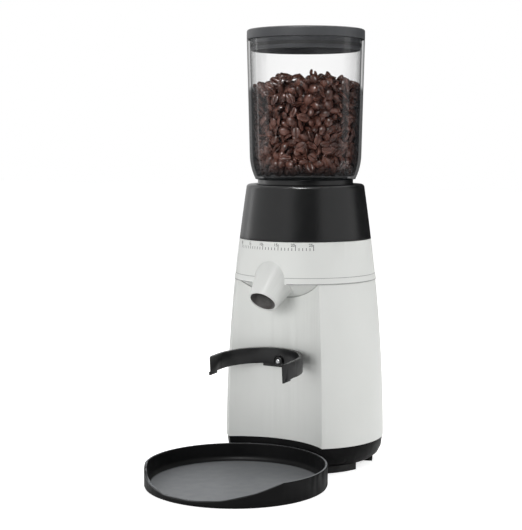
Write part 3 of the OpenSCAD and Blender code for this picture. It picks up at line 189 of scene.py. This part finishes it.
def tinted(material, dark, light, scale, detail=3, stretch=EVEN):
    """The colour wanders between two tones."""
    shader = material.node_tree.nodes["Principled BSDF"]
    place = object_place(material, stretch)
    noise = add(material, "ShaderNodeTexNoise", Scale=scale, Detail=detail)
    ramp = add(material, "ShaderNodeValToRGB")
    for element, at, tone in zip(ramp.color_ramp.elements, MIDDLE, (dark, light)):
        element.position = at
        element.color = (*tone, 1)
    wire(material, place, "Vector", noise, "Vector")
    wire(material, noise, "Fac", ramp, "Fac")
    wire(material, ramp, "Color", shader, "Base Color")
    return material


def surface(name, color, roughness, texture, gloss, tones, mottle, **sockets):
    """A textured finish: scale and depth of the texture, ends of its gloss, and its two tones."""
    material = grain(new_material(name, color, roughness, **sockets), *texture, *gloss)
    return tinted(material, *tones, mottle)


def paler_upward(material, tone):
    """Upward faces are painted paler than the polished walls: a painted sheen standing in for the light they
    catch.
    """
    shader = material.node_tree.nodes["Principled BSDF"]
    under = shader.inputs["Base Color"].links[0].from_node
    place = add(material, "ShaderNodeTexCoord")
    axes = add(material, "ShaderNodeSeparateXYZ")
    wire(material, place, "Normal", axes, "Vector")
    blend = add(material, "ShaderNodeMixRGB")
    blend.inputs["Color2"].default_value = (*tone, 1)
    wire(material, spread(material, axes, "Z", NEARLY_LEVEL, 0.0, 1.0), "Result", blend, "Fac")
    wire(material, under, "Color", blend, "Color1")
    wire(material, blend, "Color", shader, "Base Color")


white_plastic = surface("satin_white_plastic", (0.70, 0.71, 0.69), 0.42, Specular_IOR_Level=0.25,
                        texture=(2600, 0.00001), gloss=(0.38, 0.46),
                        tones=((0.70, 0.712, 0.69), (0.72, 0.73, 0.71)), mottle=14)
black_plastic = surface("satin_black_plastic", (0.004, 0.0042, 0.0046), 0.3, texture=(2400, 0.00001),
                        gloss=(0.29, 0.315), tones=((0.0035, 0.0037, 0.0041), (0.005, 0.0052, 0.0056)),
                        mottle=30)
base_black = surface("base_black_plastic", (0.002, 0.002, 0.0022), 0.4, Specular_IOR_Level=0.12,
                     texture=(2400, 0.00001), gloss=(0.36, 0.46),
                     tones=((0.0016, 0.0016, 0.0018), (0.0026, 0.0026, 0.0029)), mottle=30)
charcoal_plastic = surface("charcoal_plastic", (0.05, 0.052, 0.056), 0.42, texture=(2200, 0.000016),
                           gloss=(0.38, 0.5), tones=((0.048, 0.05, 0.054), (0.056, 0.058, 0.062)),
                           mottle=30)
tray_plastic = surface("tray_plastic", (0.012, 0.0125, 0.0135), 0.45, Specular_IOR_Level=0.14,
                       texture=(2600, 0.00002), gloss=(0.4, 0.5),
                       tones=((0.002, 0.0021, 0.0023), (0.0032, 0.0033, 0.0036)), mottle=40)
# Painted sheen: the tray's upward faces are painted a paler tone.
paler_upward(tray_plastic, (0.22, 0.228, 0.238))
foot_rubber = surface("foot_rubber", (0.012, 0.012, 0.012), 0.7, texture=(3000, 0.00004), gloss=(0.62, 0.8),
                      tones=((0.010, 0.010, 0.010), (0.016, 0.016, 0.016)), mottle=60)
seal_rubber = surface("seal_rubber", (0.02, 0.02, 0.021), 0.6, texture=(2500, 0.00003), gloss=(0.5, 0.65),
                      tones=((0.018, 0.018, 0.019), (0.026, 0.026, 0.027)), mottle=80)
bright_steel = surface("bright_steel", (0.62, 0.63, 0.64), 0.2, Metallic=1.0, texture=(2600, 0.00001),
                       gloss=(0.16, 0.26), tones=((0.58, 0.59, 0.60), (0.68, 0.69, 0.70)), mottle=200)
plain_steel = grain(new_material("turned_steel", (0.5, 0.5, 0.5), 0.3, Metallic=1.0),
                    1800, 0.00002, 0.26, 0.4, stretch=(1, 1, 12))
tinted(plain_steel, (0.44, 0.45, 0.46), (0.56, 0.57, 0.58), 160, stretch=(1, 1, 12))
burr_steel = surface("hardened_steel", (0.35, 0.35, 0.36), 0.32, Metallic=1.0, texture=(3200, 0.00002),
                     gloss=(0.28, 0.42), tones=((0.30, 0.30, 0.31), (0.42, 0.42, 0.43)), mottle=260)
cast_zinc = surface("cast_zinc", (0.30, 0.31, 0.32), 0.5, Metallic=1.0, texture=(1500, 0.00006),
                    gloss=(0.45, 0.6), tones=((0.27, 0.28, 0.29), (0.36, 0.37, 0.38)), mottle=90)
motor_steel = grain(new_material("motor_steel", (0.38, 0.39, 0.40), 0.38, Metallic=1.0),
                    1700, 0.00003, 0.32, 0.45)
tinted(motor_steel, (0.34, 0.35, 0.36), (0.44, 0.45, 0.46), 70, stretch=(1, 1, 0.2))
enamelled_copper = grain(new_material("enamelled_copper", (0.55, 0.22, 0.09), 0.3, Metallic=1.0),
                         900, 0.0002, 0.22, 0.36, stretch=(1, 1, 0.15))
tinted(enamelled_copper, (0.45, 0.16, 0.06), (0.65, 0.28, 0.12), 400, stretch=(1, 1, 0.1))
machined_brass = surface("machined_brass", (0.62, 0.42, 0.16), 0.3, Metallic=1.0, texture=(2400, 0.00002),
                         gloss=(0.22, 0.36), tones=((0.55, 0.36, 0.13), (0.68, 0.48, 0.20)), mottle=200)
natural_nylon = surface("natural_nylon", (0.66, 0.63, 0.54), 0.45, Subsurface_Weight=0.1,
                        texture=(2000, 0.00002), gloss=(0.38, 0.5),
                        tones=((0.62, 0.59, 0.50), (0.70, 0.67, 0.58)), mottle=60)
inner_plastic = surface("inner_black_plastic", (0.02, 0.02, 0.02), 0.5, texture=(2000, 0.00003),
                        gloss=(0.45, 0.6), tones=((0.018, 0.018, 0.018), (0.028, 0.028, 0.03)), mottle=60)
red_silicone = surface("red_silicone", (0.30, 0.03, 0.02), 0.5, texture=(2000, 0.00002), gloss=(0.42, 0.55),
                       tones=((0.26, 0.025, 0.018), (0.36, 0.04, 0.025)), mottle=80)
board_green = surface("board_green", (0.02, 0.12, 0.05), 0.35, texture=(3000, 0.00002), gloss=(0.3, 0.42),
                      tones=((0.015, 0.10, 0.04), (0.03, 0.16, 0.07)), mottle=350)
wire_red = surface("wire_red", (0.35, 0.02, 0.015), 0.4, texture=(2000, 0.00002), gloss=(0.34, 0.46),
                   tones=((0.30, 0.018, 0.012), (0.42, 0.03, 0.02)), mottle=120)
carbon_block = surface("carbon_block", (0.03, 0.03, 0.03), 0.6, texture=(1600, 0.00006), gloss=(0.5, 0.7),
                       tones=((0.022, 0.022, 0.022), (0.045, 0.045, 0.045)), mottle=300)
print_grey = surface("printed_grey", (0.035, 0.036, 0.038), 0.5, texture=(3000, 0.000004),
                     gloss=(0.45, 0.55), tones=((0.03, 0.031, 0.033), (0.045, 0.046, 0.048)), mottle=300)

# The clear bin's painted shade: the span of a height in metres, or of a slant, and the amount of painted
# shade at its two ends.
FOOT_SHADE = (0.2685, 0.2555), 0.0, 0.62
BEAN_SHADE = (0.340, 0.332), 0.0, 1.0
RIM_SHADE = (0.38, 0.62), 0.0, 0.7
SLANT_SHADE = (0.0, 0.012), (0.25, 0.022), (0.42, 0.06), (0.58, 0.13), (0.75, 0.3), (0.88, 0.6), (1.0, 0.9)
GLARE, POLISH, PLASTIC_IOR = 0.06, 0.04, 1.45


def clear_wall(name):
    """Thin clear plastic: see-through face on, with painted shade that makes it greyer at a slant, beside
    the beans and at its foot.
    """
    # The wall's near-black colour, which shows more as the alpha rises, is painted shade.
    material = grain(new_material(name, (0.012, 0.013, 0.014), 0.3, IOR=1.05), 500, 0.0000015, 0.25, 0.35)
    shader = material.node_tree.nodes["Principled BSDF"]
    slant = add(material, "ShaderNodeLayerWeight", Blend=0.5)
    slant_shade = add(material, "ShaderNodeValToRGB")
    steps = slant_shade.color_ramp.elements
    for at, _ in SLANT_SHADE[1:-1]:
        steps.new(at)
    for step, (_, value) in zip(steps, SLANT_SHADE):
        step.color = (value, value, value, 1)
    wire(material, slant, "Facing", slant_shade, "Fac")
    place = add(material, "ShaderNodeTexCoord")
    axes = add(material, "ShaderNodeSeparateXYZ")
    wire(material, place, "Object", axes, "Vector")
    foot = spread(material, axes, "Z", *FOOT_SHADE)
    filled = spread(material, axes, "Z", *BEAN_SHADE)
    rim = spread(material, slant, "Facing", *RIM_SHADE)
    beside = combined(material, "MULTIPLY", (filled, "Result"), (rim, "Result"))
    shaded = combined(material, "MAXIMUM", (slant_shade, "Color"), (beside, 0))
    wire(material, combined(material, "MAXIMUM", (shaded, 0), (foot, "Result")), 0, shader, "Alpha")
    mirror = add(material, "ShaderNodeBsdfGlossy", Roughness=POLISH)
    share = combined(material, "MULTIPLY", (add(material, "ShaderNodeFresnel", IOR=PLASTIC_IOR), 0))
    share.inputs[1].default_value = GLARE
    mixed = add(material, "ShaderNodeMixShader")
    wire(material, share, 0, mixed, 0)
    wire(material, shader, "BSDF", mixed, 1)
    wire(material, mirror, "BSDF", mixed, 2)
    wire(material, mixed, 0, material.node_tree.nodes["Material Output"], "Surface")
    return material


clear_plastic = clear_wall("clear_bin_plastic")

NODE_FINISH = {node: finish for finish, nodes in (
    (charcoal_plastic, "lid"),
    (seal_rubber, "lid_seal"),
    (clear_plastic, "hopper"),
    (black_plastic, "hopper_neck grind_collar portafilter_fork trigger_button power_rocker rocker_housing"),
    (bright_steel, "collar_clip detent_spring carrier_pins shaft_bearings chamber_screws "
                   "gear_case_screws motor_screws housing_screws base_screws fork_screws button_tip "
                   "button_spring"),
    (cast_zinc, "burr_carrier grind_chamber gear_cover gear_case"),
    (burr_steel, "ring_burr cone_burr"),
    (plain_steel, "burr_nut burr_shaft motor_shaft switch_bracket"),
    (natural_nylon, "impeller drive_gear"),
    (red_silicone, "shaft_seal switch_plunger"),
    (machined_brass, "motor_pinion"),
    (motor_steel, "armature motor_can"),
    (enamelled_copper, "windings commutator"),
    (carbon_block, "brushes motor_magnets coffee_beans"),
    (inner_plastic, "motor_end_cap microswitch"),
    (white_plastic, "upper_housing spout body_shell"),
    (base_black, "base_pan"),
    (foot_rubber, "rubber_feet cord_bush"),
    (tray_plastic, "grounds_tray"),
    (board_green, "control_board"),
    (wire_red, "wiring"),
) for node in nodes.split()}
for node, finish in NODE_FINISH.items():
    dress(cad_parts[node], finish)


# ---- Moulded pieces with eased edges ----

BREAK_SHARPER = 40          # edges sharper than this, in degrees, are broken
FLAT_WITHIN = 0.6           # neighbouring facets within this, in degrees, are one face


def node_copy(node, name):
    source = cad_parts[node]
    piece = source.copy()
    piece.data = source.data.copy()
    piece.name = piece.data.name = name
    scene.collection.objects.link(piece)
    pick(piece)
    return piece


def eased_copy(node, body, slot, width):
    """The same piece with its hard edges broken, as a mould leaves them."""
    piece = node_copy(node, node + "_moulded")
    bpy.ops.object.mode_set(mode="EDIT")
    bpy.ops.mesh.select_all(action="SELECT")
    bpy.ops.mesh.remove_doubles(threshold=2 * WELD)
    bpy.ops.mesh.dissolve_limited(angle_limit=math.radians(FLAT_WITHIN))
    bpy.ops.object.mode_set(mode="OBJECT")
    rounding = piece.modifiers.new("rounding", "BEVEL")
    rounding.width = width * MM
    rounding.segments = 3
    rounding.limit_method = "ANGLE"
    rounding.angle_limit = math.radians(BREAK_SHARPER)
    rounding.harden_normals = True
    bpy.ops.object.modifier_apply(modifier="rounding")
    smooth(piece, 38)
    dress(piece, NODE_FINISH[node])
    return finished(piece, body, slot, node)


# Each piece's body, slot and width of its broken edge in mm.
EASED = {
    "lid": ("lid", "charcoal", 0.5), "grind_collar": ("collar", "black_satin", 0.4),
    "hopper_neck": ("hopper", "black_satin", 0.4), "upper_housing": ("base", "white_shell", 0.35),
    "body_shell": ("base", "white_shell", 0.35), "base_pan": ("base", "black_satin", 0.5),
    "spout": ("base", "white_shell", 0.4), "portafilter_fork": ("base", "black_satin", 0.7),
    "grounds_tray": ("tray", "black_satin", 0.4), "rubber_feet": ("base", "rubber_black", 0.5),
    "power_rocker": ("rocker", "black_satin", 0.4), "cord_bush": ("base", "rubber_black", 0.4),
    "trigger_button": ("trigger", "black_satin", 0.3),
}
eased_pieces = {node: eased_copy(node, *how) for node, how in EASED.items()}

# The spout's bore is painted darker, as painted shade inside the recess: its faces look at the spout's own
# axis.
SPOUT_REACH, SPOUT_MOUTH_Z = 71.3, 150.9        # mm ahead of the tower's axis, and height
SPOUT_SLOPE = math.radians(40.5)
MOUTH = Vector((0, AXIS_Y - SPOUT_REACH * MM, SPOUT_MOUTH_Z * MM))
UP_SPOUT = Vector((0, math.cos(SPOUT_SLOPE), math.sin(SPOUT_SLOPE)))
LOOKS_IN = -0.4                 # a face of the bore points inward at least this much
# Painted shade: a darker grey for the faces of the bore that point inward.
bore_shade = surface("painted_bore_shade", (0.16, 0.155, 0.15), 0.6, texture=(1500, 0.00003), gloss=(0.55, 0.7),
                  tones=((0.10, 0.095, 0.09), (0.19, 0.185, 0.18)), mottle=120)
spout = eased_pieces["spout"]
spout.data.materials.append(bore_shade)
for face in spout.data.polygons:
    out = face.center - MOUTH
    out -= UP_SPOUT * out.dot(UP_SPOUT)
    if out.dot(face.normal) < LOOKS_IN * out.length:
        face.material_index = 1


# The button's spring is copied from its node into a piece with a mesh of its own.
coil = finished(node_copy("button_spring", "pressed_coil"), "base", "steel", "button_spring")
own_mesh(coil)


# ---- Printed scale ----

SCALE_FOOT, MINOR_TOP, MAJOR_TOP, NUMBER_FOOT = 194.4, 196.8, 199.4, 197.9   # heights in mm
SCALE_STEP, SCALE_END, NUMBERED = 3, 25, 5      # degrees a setting, last setting, every fifth has a number
TICK_WIDE, NUMBER_GAP = 0.5, 0.5                # degrees
NUMBER_TALL, NUMBER_BOLD = 3.5, 0.04
PRINT_STAND = 0.00006                           # the print stands this far off the wall
OUTSIDE = 0.1                                   # farther out than any wall


def onto_housing(piece):
    """Lays flat print, drawn as degrees across and mm up, on the upper housing."""
    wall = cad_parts["upper_housing"]
    tree = BVHTree.FromPolygons([v.co for v in wall.data.vertices], [f.vertices for f in wall.data.polygons])
    for v in piece.data.vertices:
        a, z = math.radians(v.co.x), v.co.y * MM
        outward = Vector((math.sin(a), -math.cos(a), 0))
        start = Vector((0, AXIS_Y, z)) + outward * OUTSIDE
        hit = tree.ray_cast(start, -outward)[0]
        v.co = hit + outward * PRINT_STAND


def tick(bearing, top):
    """A mark of the scale, from its foot line up."""
    deselect()
    bpy.ops.mesh.primitive_plane_add(size=1)
    mark = bpy.context.object
    mark.scale = (TICK_WIDE, top - SCALE_FOOT, 1)
    mark.location = (bearing, (top + SCALE_FOOT) / 2, 0)
    place_in_mesh(mark)
    return mark


def number(value, right_edge):
    """A setting's number, left of its tick."""
    deselect()
    bpy.ops.object.text_add()
    text = bpy.context.object
    text.data.body = str(value)
    text.data.align_x = "RIGHT"
    text.data.size = NUMBER_TALL
    text.data.resolution_u = 3
    text.data.offset = NUMBER_BOLD
    text.location = (right_edge, NUMBER_FOOT, 0)
    bpy.ops.object.convert(target="MESH")
    place_in_mesh(text)
    return text


def joined(pieces, name):
    deselect()
    for piece in pieces:
        piece.select_set(True)
    bpy.context.view_layer.objects.active = pieces[0]
    bpy.ops.object.join()
    whole = bpy.context.object
    whole.name = whole.data.name = name
    return whole


marks = []
for setting in range(SCALE_END + 1):
    bearing = (setting - SCALE_END / 2) * SCALE_STEP
    marks.append(tick(bearing, MINOR_TOP if setting % NUMBERED else MAJOR_TOP))
    if setting % NUMBERED == 0:
        marks.append(number(setting, bearing - NUMBER_GAP))
scale_print = joined(marks, "scale_print")
onto_housing(scale_print)
dress(scale_print, print_grey)
finished(scale_print, "base", "charcoal")


def hairline(name, z, high, finish):
    """A dark line of painted shade round the upper housing, standing in for the shadow in a seam or groove,
    at a height and with a width in mm.
    """
    deselect()
    bpy.ops.mesh.primitive_grid_add(x_subdivisions=180, y_subdivisions=1, size=1)
    line = bpy.context.object
    line.name = line.data.name = name
    line.scale = (360, high, 1)
    line.location = (0, z, 0)
    place_in_mesh(line)
    onto_housing(line)
    dress(line, finish)
    return finished(line, "base", "charcoal")


shade_grey = surface("painted_seam_shade", (0.22, 0.22, 0.225), 0.6, texture=(2000, 0.00001), gloss=(0.55, 0.65),
                     tones=((0.2, 0.2, 0.205), (0.24, 0.24, 0.245)), mottle=60)
# Painted shade: a grey line under the lip and one in the seam gap.
hairline("lip_line", 170.9, 0.35, shade_grey)
hairline("seam_line", 165.75, 0.5, shade_grey)


# ---- Coffee beans ----

BEAN = (5.5, 3.9, 2.7)          # half length, half width and half thickness of a bean, in mm
BEAN_COUNT = 1000
HEAP_CORE_R = 33
HEAP_FLOOR = 257
HEAP_EDGE, HEAP_CROWN = 338.5, 357      # heights of the heap at the wall and in the middle
HEAP_EDGE_R = 47
BIN_FOOT_Z, BIN_FOOT_R = 254.2, 44.6    # outside of the bin, from its foot up
SHOULDER_Z, SHOULDER_R = 277, 49.9
RIM_Z, RIM_R = 377.2, 52.4
BIN_WALL = 2.6


def bin_r(z):
    """Inner radius of the bin in mm at a height, as the part's source has it."""
    drop, inward = SHOULDER_Z - BIN_FOOT_Z, SHOULDER_R - BIN_FOOT_R
    arc = (drop ** 2 + inward ** 2) / (2 * inward)
    low = SHOULDER_R - arc + np.sqrt(np.maximum(arc ** 2 - (SHOULDER_Z - z) ** 2, 0))
    high = SHOULDER_R + (RIM_R - SHOULDER_R) * (z - SHOULDER_Z) / (RIM_Z - SHOULDER_Z)
    return np.where(z < SHOULDER_Z, low, high) - BIN_WALL


def heap_top(r):
    return HEAP_CROWN - (HEAP_CROWN - HEAP_EDGE) * (r / HEAP_EDGE_R) ** 2


# A bean starts as a ball of radius 1, and these are its marks on that ball.
UNDERSIDE = -0.2            # what lies below this is pressed flat
PRESSED_TO = 0.35
CREASE_WIDE, CREASE_DEEP = 0.13, 0.28
SEAM = 0.01                 # an edge this near the underside's middle line is opened as the crease
GROOVE = 0.02               # and after that, a vertex this near it is pushed in


def make_bean():
    """One roasted bean along X, its flat side down, with a crease sunk along that side."""
    deselect()
    bpy.ops.mesh.primitive_uv_sphere_add(segments=8, ring_count=6, radius=1, rotation=(0, math.pi / 2, 0))
    bean = bpy.context.object
    bean.name = "bean"
    place_in_mesh(bean)
    bpy.ops.object.mode_set(mode="EDIT")
    mesh = bmesh.from_edit_mesh(bean.data)
    for v in mesh.verts:
        v.select = v.co.z < UNDERSIDE
    mesh.select_flush_mode()
    bpy.ops.transform.resize(value=(1, 1, PRESSED_TO), center_override=(0, 0, 0))
    mesh = bmesh.from_edit_mesh(bean.data)
    bpy.ops.mesh.select_all(action="DESELECT")
    crease = [e for e in mesh.edges if all(abs(v.co.y) < SEAM and v.co.z < SEAM for v in e.verts)]
    for e in crease:
        e.select = True
    bmesh.update_edit_mesh(bean.data)
    bpy.ops.mesh.bevel(offset=CREASE_WIDE, segments=2, affect="EDGES")
    mesh = bmesh.from_edit_mesh(bean.data)
    bpy.ops.mesh.select_all(action="DESELECT")
    for v in mesh.verts:
        v.select = abs(v.co.y) < GROOVE and v.co.z < UNDERSIDE / 2
    mesh.select_flush_mode()
    bmesh.update_edit_mesh(bean.data)
    bpy.ops.transform.translate(value=(0, 0, CREASE_DEEP))
    bpy.ops.mesh.select_all(action="SELECT")
    bpy.ops.transform.resize(value=(BEAN[0] * MM, BEAN[1] * MM, BEAN[2] * MM), center_override=(0, 0, 0))
    bpy.ops.object.mode_set(mode="OBJECT")
    smooth(bean, 80)
    return bean


SEED = 11
SETTLING_STEPS = 140
SINK = 0.05                     # mm that each bean falls in a step
MIDDLE_FREE = 16                # mm below the heap's edge: beans above this are strewn over the middle too
CORE_TOP = 12                   # mm below the heap's edge: beans below this stay outside the core
TOSSED = 6                      # mm below the heap's edge: beans above this lie nearly any way
FACES_OUT = 0.9, 0.3            # how far a bean's broad side turns to the wall, below and above that
SCATTER = 0.62                  # scatter of that side's direction
CREASE_OUT = 0.42               # share of the beans that show the wall their crease
SIZES = 0.86, 1.08
UNEVEN = 3.5                    # mm up or down of the heap's top
SUNK = 0.6                      # share of its half height that a bean keeps below that top
NEIGHBOUR = 2.1 * BEAN[0]       # beans farther apart than this never touch
CLOSER = 0.97                   # share of the free distance that two beans keep
YIELD = 0.34                    # share of an overlap that each step moves each bean by
WALL_GAP = 0.25                 # mm between a bean and the bin's wall
TOUCHING = 0.01                 # mm; two centres or a centre and the axis are never nearer


def along_way(direction, shape):
    """The quadratic form of each bean's shape in a direction."""
    return np.einsum("ni,nij,nj->n", direction, shape, direction)


def settle_beans(rng):
    """Places and turns of the beans, in mm: thrown in near the wall and over the top, then pushed apart."""
    n = BEAN_COUNT
    turn = rng.uniform(0, 2 * math.pi, n)
    z = rng.uniform(HEAP_FLOOR + 2, HEAP_CROWN, n)
    out = np.sqrt(rng.uniform(0, 1, n))
    wall = bin_r(z)
    r = np.where(z > HEAP_EDGE - MIDDLE_FREE, out * wall, HEAP_CORE_R + (wall - HEAP_CORE_R) * out)
    at = np.stack([r * np.cos(turn), r * np.sin(turn), z], 1)
    half = np.array(BEAN) * rng.uniform(*SIZES, (n, 1))
    outward = at * (1, 1, 0) / np.maximum(np.hypot(at[:, 0], at[:, 1]), 1)[:, None]
    pull = np.where(z > HEAP_EDGE - TOSSED, FACES_OUT[1], FACES_OUT[0])
    flat = outward * pull[:, None] + rng.normal(0, SCATTER, (n, 3))
    flat /= np.linalg.norm(flat, axis=1)[:, None]
    flat *= np.where(rng.uniform(0, 1, n) < CREASE_OUT, -1, 1)[:, None]
    along = np.cross(flat, rng.normal(0, 1, (n, 3)))
    along /= np.linalg.norm(along, axis=1)[:, None]
    axes = np.stack([along, np.cross(flat, along), flat], 2)
    shape_in = np.einsum("nij,nj,nkj->nik", axes, half ** -2.0, axes)
    shape_out = np.einsum("nij,nj,nkj->nik", axes, half ** 2.0, axes)
    tall = np.sqrt(shape_out[:, 2, 2])
    rough = rng.uniform(-UNEVEN, UNEVEN, n)
    low = HEAP_FLOOR + tall
    pair_once = np.arange(n)[:, None] < np.arange(n)[None, :]
    for step in range(SETTLING_STEPS):
        gap = at[:, None, :] - at[None, :, :]
        near = np.linalg.norm(gap, axis=2)
        a, b = np.nonzero((near < NEIGHBOUR) & pair_once)
        length = np.maximum(near[a, b], TOUCHING)
        way = gap[a, b] / length[:, None]
        reach = sum(1 / np.sqrt(along_way(way, shape_in[k])) for k in (a, b))
        push = np.maximum(reach * CLOSER - length, 0)[:, None] * way * YIELD
        np.add.at(at, a, push)
        np.add.at(at, b, -push)
        at[:, 2] -= SINK
        r = np.maximum(np.hypot(at[:, 0], at[:, 1]), TOUCHING)
        outward = np.stack([at[:, 0] / r, at[:, 1] / r, np.zeros(n)], 1)
        thick = np.sqrt(along_way(outward, shape_out))
        top = heap_top(r) + rough - tall * SUNK
        at[:, 2] = np.clip(at[:, 2], low, np.maximum(top, low))
        limit = bin_r(at[:, 2] - tall / 2) - WALL_GAP - thick
        inner = np.where(at[:, 2] < HEAP_EDGE - CORE_TOP, HEAP_CORE_R, 0)
        held = np.clip(r, np.minimum(inner, limit), limit)
        at[:, :2] *= (held / r)[:, None]
    return at, axes, half


# A plain core fills the middle, where no bean is seen.
CORE_SECTION = [
    (0, HEAP_FLOOR + 1), (HEAP_CORE_R + 3, HEAP_FLOOR + 1), (HEAP_CORE_R + 3, HEAP_EDGE - 26),
    (HEAP_CORE_R - 8, HEAP_EDGE - 14), (0, HEAP_CROWN - 15),
]


def fill_bin():
    rng = np.random.default_rng(SEED)
    at, axes, half = settle_beans(rng)
    bean = make_bean()
    copies = []
    for place, turn, size in zip(at, axes, half):
        copy = bean.copy()
        copy.data = bean.data.copy()
        grown = Matrix.Diagonal((*(size / np.array(BEAN)), 1))
        copy.data.transform(Matrix.Translation(Vector(place * MM) + Vector((0, AXIS_Y, 0)))
                            @ Matrix(turn.tolist()).to_4x4() @ grown)
        scene.collection.objects.link(copy)
        copies.append(copy)
    bpy.data.objects.remove(bean)
    core = turned("bean_core", CORE_SECTION, sides=48)
    return joined([*copies, core], "bean_heap")


roasted = grain(new_material("roasted_beans", (0.1, 0.04, 0.028), 0.3), 900, 0.00012, 0.22, 0.36, detail=4)
tinted(roasted, (0.045, 0.017, 0.012), (0.16, 0.07, 0.052), 130, detail=2)
heap = fill_bin()
dress(heap, roasted)
finished(heap, "hopper", "beans", "coffee_beans")


# ---- Camera, floor and light ----

LOOK = Vector((-0.5341, 0.8403, -0.0927)).normalized()
TO_RIGHT = Vector((0.8403, 0.5341, 0)).normalized()
TO_CAMERA = Vector((0.5341, -0.8403, 0)).normalized()

camera = bpy.data.objects.new("camera", bpy.data.cameras.new("camera"))
scene.collection.objects.link(camera)
camera.data.lens = 91.7
camera.data.sensor_width = 36
camera.data.clip_start = 0.01
camera.location = (0.6160, -0.98355, 0.2895)
camera.rotation_euler = LOOK.to_track_quat("-Z", "Y").to_euler()
scene.camera = camera


def place_around(piece, bearing, height, reach, aim):
    """Puts a lamp or card at a bearing in degrees from the camera's side, to the right if positive."""
    a = math.radians(bearing)
    piece.location = Vector((0, AXIS_Y, height)) + (TO_CAMERA * math.cos(a) + TO_RIGHT * math.sin(a)) * reach
    to = Vector((0, AXIS_Y, aim)) - piece.location
    piece.rotation_euler = to.to_track_quat("-Z", "Y").to_euler()


def softbox(name, bearing, height, reach, wide, tall, watts, mirrored, aim=0.2):
    """An area lamp; `mirrored` says whether glossy surfaces show it."""
    lamp = bpy.data.objects.new(name, bpy.data.lights.new(name, "AREA"))
    scene.collection.objects.link(lamp)
    lamp.data.shape = "RECTANGLE"
    lamp.data.size, lamp.data.size_y = wide, tall
    lamp.data.energy = watts
    lamp.visible_glossy = mirrored
    place_around(lamp, bearing, height, reach, aim)
    return lamp


softbox("key_right", bearing=98, height=0.5, reach=1.5, wide=0.8, tall=1.4, watts=16, mirrored=False)
softbox("fill_front", bearing=-28, height=0.42, reach=1.6, wide=0.8, tall=0.6, watts=12, mirrored=False,
        aim=0.0)
softbox("strip_left", bearing=-122, height=0.3, reach=1.1, wide=0.12, tall=1.3, watts=1.2, mirrored=True)
softbox("overhead", bearing=178, height=1.7, reach=0.6, wide=1.6, tall=1.1, watts=11, mirrored=True,
        aim=0.1)
spark = softbox("spark", bearing=-16, height=1.5, reach=1.1, wide=0.3, tall=0.3, watts=24, mirrored=True,
                aim=0.3)
spark.visible_diffuse = False       # it glints on gloss and lights nothing

card_black = grain(new_material("dark_card", (0.004, 0.004, 0.004), 0.9), 40, 0.0001, 0.85, 0.95)


def dark_card(name, bearing, height, reach, wide, tall):
    """A card that only the glossy surfaces mirror."""
    deselect()
    bpy.ops.mesh.primitive_plane_add(size=1)
    card = bpy.context.object
    card.name = name
    card.scale = (wide, tall, 1)
    place_around(card, bearing, height, reach, aim=0.2)
    place_in_mesh(card)
    card.visible_camera = card.visible_diffuse = card.visible_transmission = card.visible_shadow = False
    dress(card, card_black)


dark_card("card_behind_camera", bearing=0, height=0.5, reach=1.9, wide=1.6, tall=2.4)
dark_card("card_right", bearing=139, height=0.4, reach=1.0, wide=1.6, tall=1.2)

# The world lights matt surfaces less than it shows itself to the camera and to reflections.
AMBIENT, MIRRORED, SEEN = 0.34, 0.85, 1.0
world = bpy.data.worlds.new("studio")
world.use_nodes = True
scene.world = world
background = world.node_tree.nodes["Background"]
background.inputs["Color"].default_value = (1, 1, 1, 1)
rays = add(world, "ShaderNodeLightPath")
level = None
for ray, strength in (("Is Glossy Ray", MIRRORED), ("Is Transmission Ray", SEEN), ("Is Camera Ray", SEEN)):
    choice = add(world, "ShaderNodeMix", A=AMBIENT, B=strength)
    wire(world, rays, ray, choice, "Factor")
    if level is not None:
        wire(world, level, "Result", choice, "A")
    level = choice
wire(world, level, "Result", background, "Strength")

deselect()
bpy.ops.mesh.primitive_plane_add(size=12, location=(0, 0, 0))
floor = bpy.context.object
floor.name = "floor"
pale = grain(new_material("pale_floor", (0.88, 0.88, 0.88), 0.85), 300, 0.00002, 0.8, 0.9)
shader = pale.node_tree.nodes["Principled BSDF"]
shader.inputs["Emission Color"].default_value = (1, 1, 1, 1)
FLOOR_LIFT = 0.7                # the floor glows this much to the camera alone
lift = combined(pale, "MULTIPLY", (add(pale, "ShaderNodeLightPath"), "Is Camera Ray"))
lift.inputs[1].default_value = FLOOR_LIFT
wire(pale, lift, 0, shader, "Emission Strength")
dress(floor, pale)
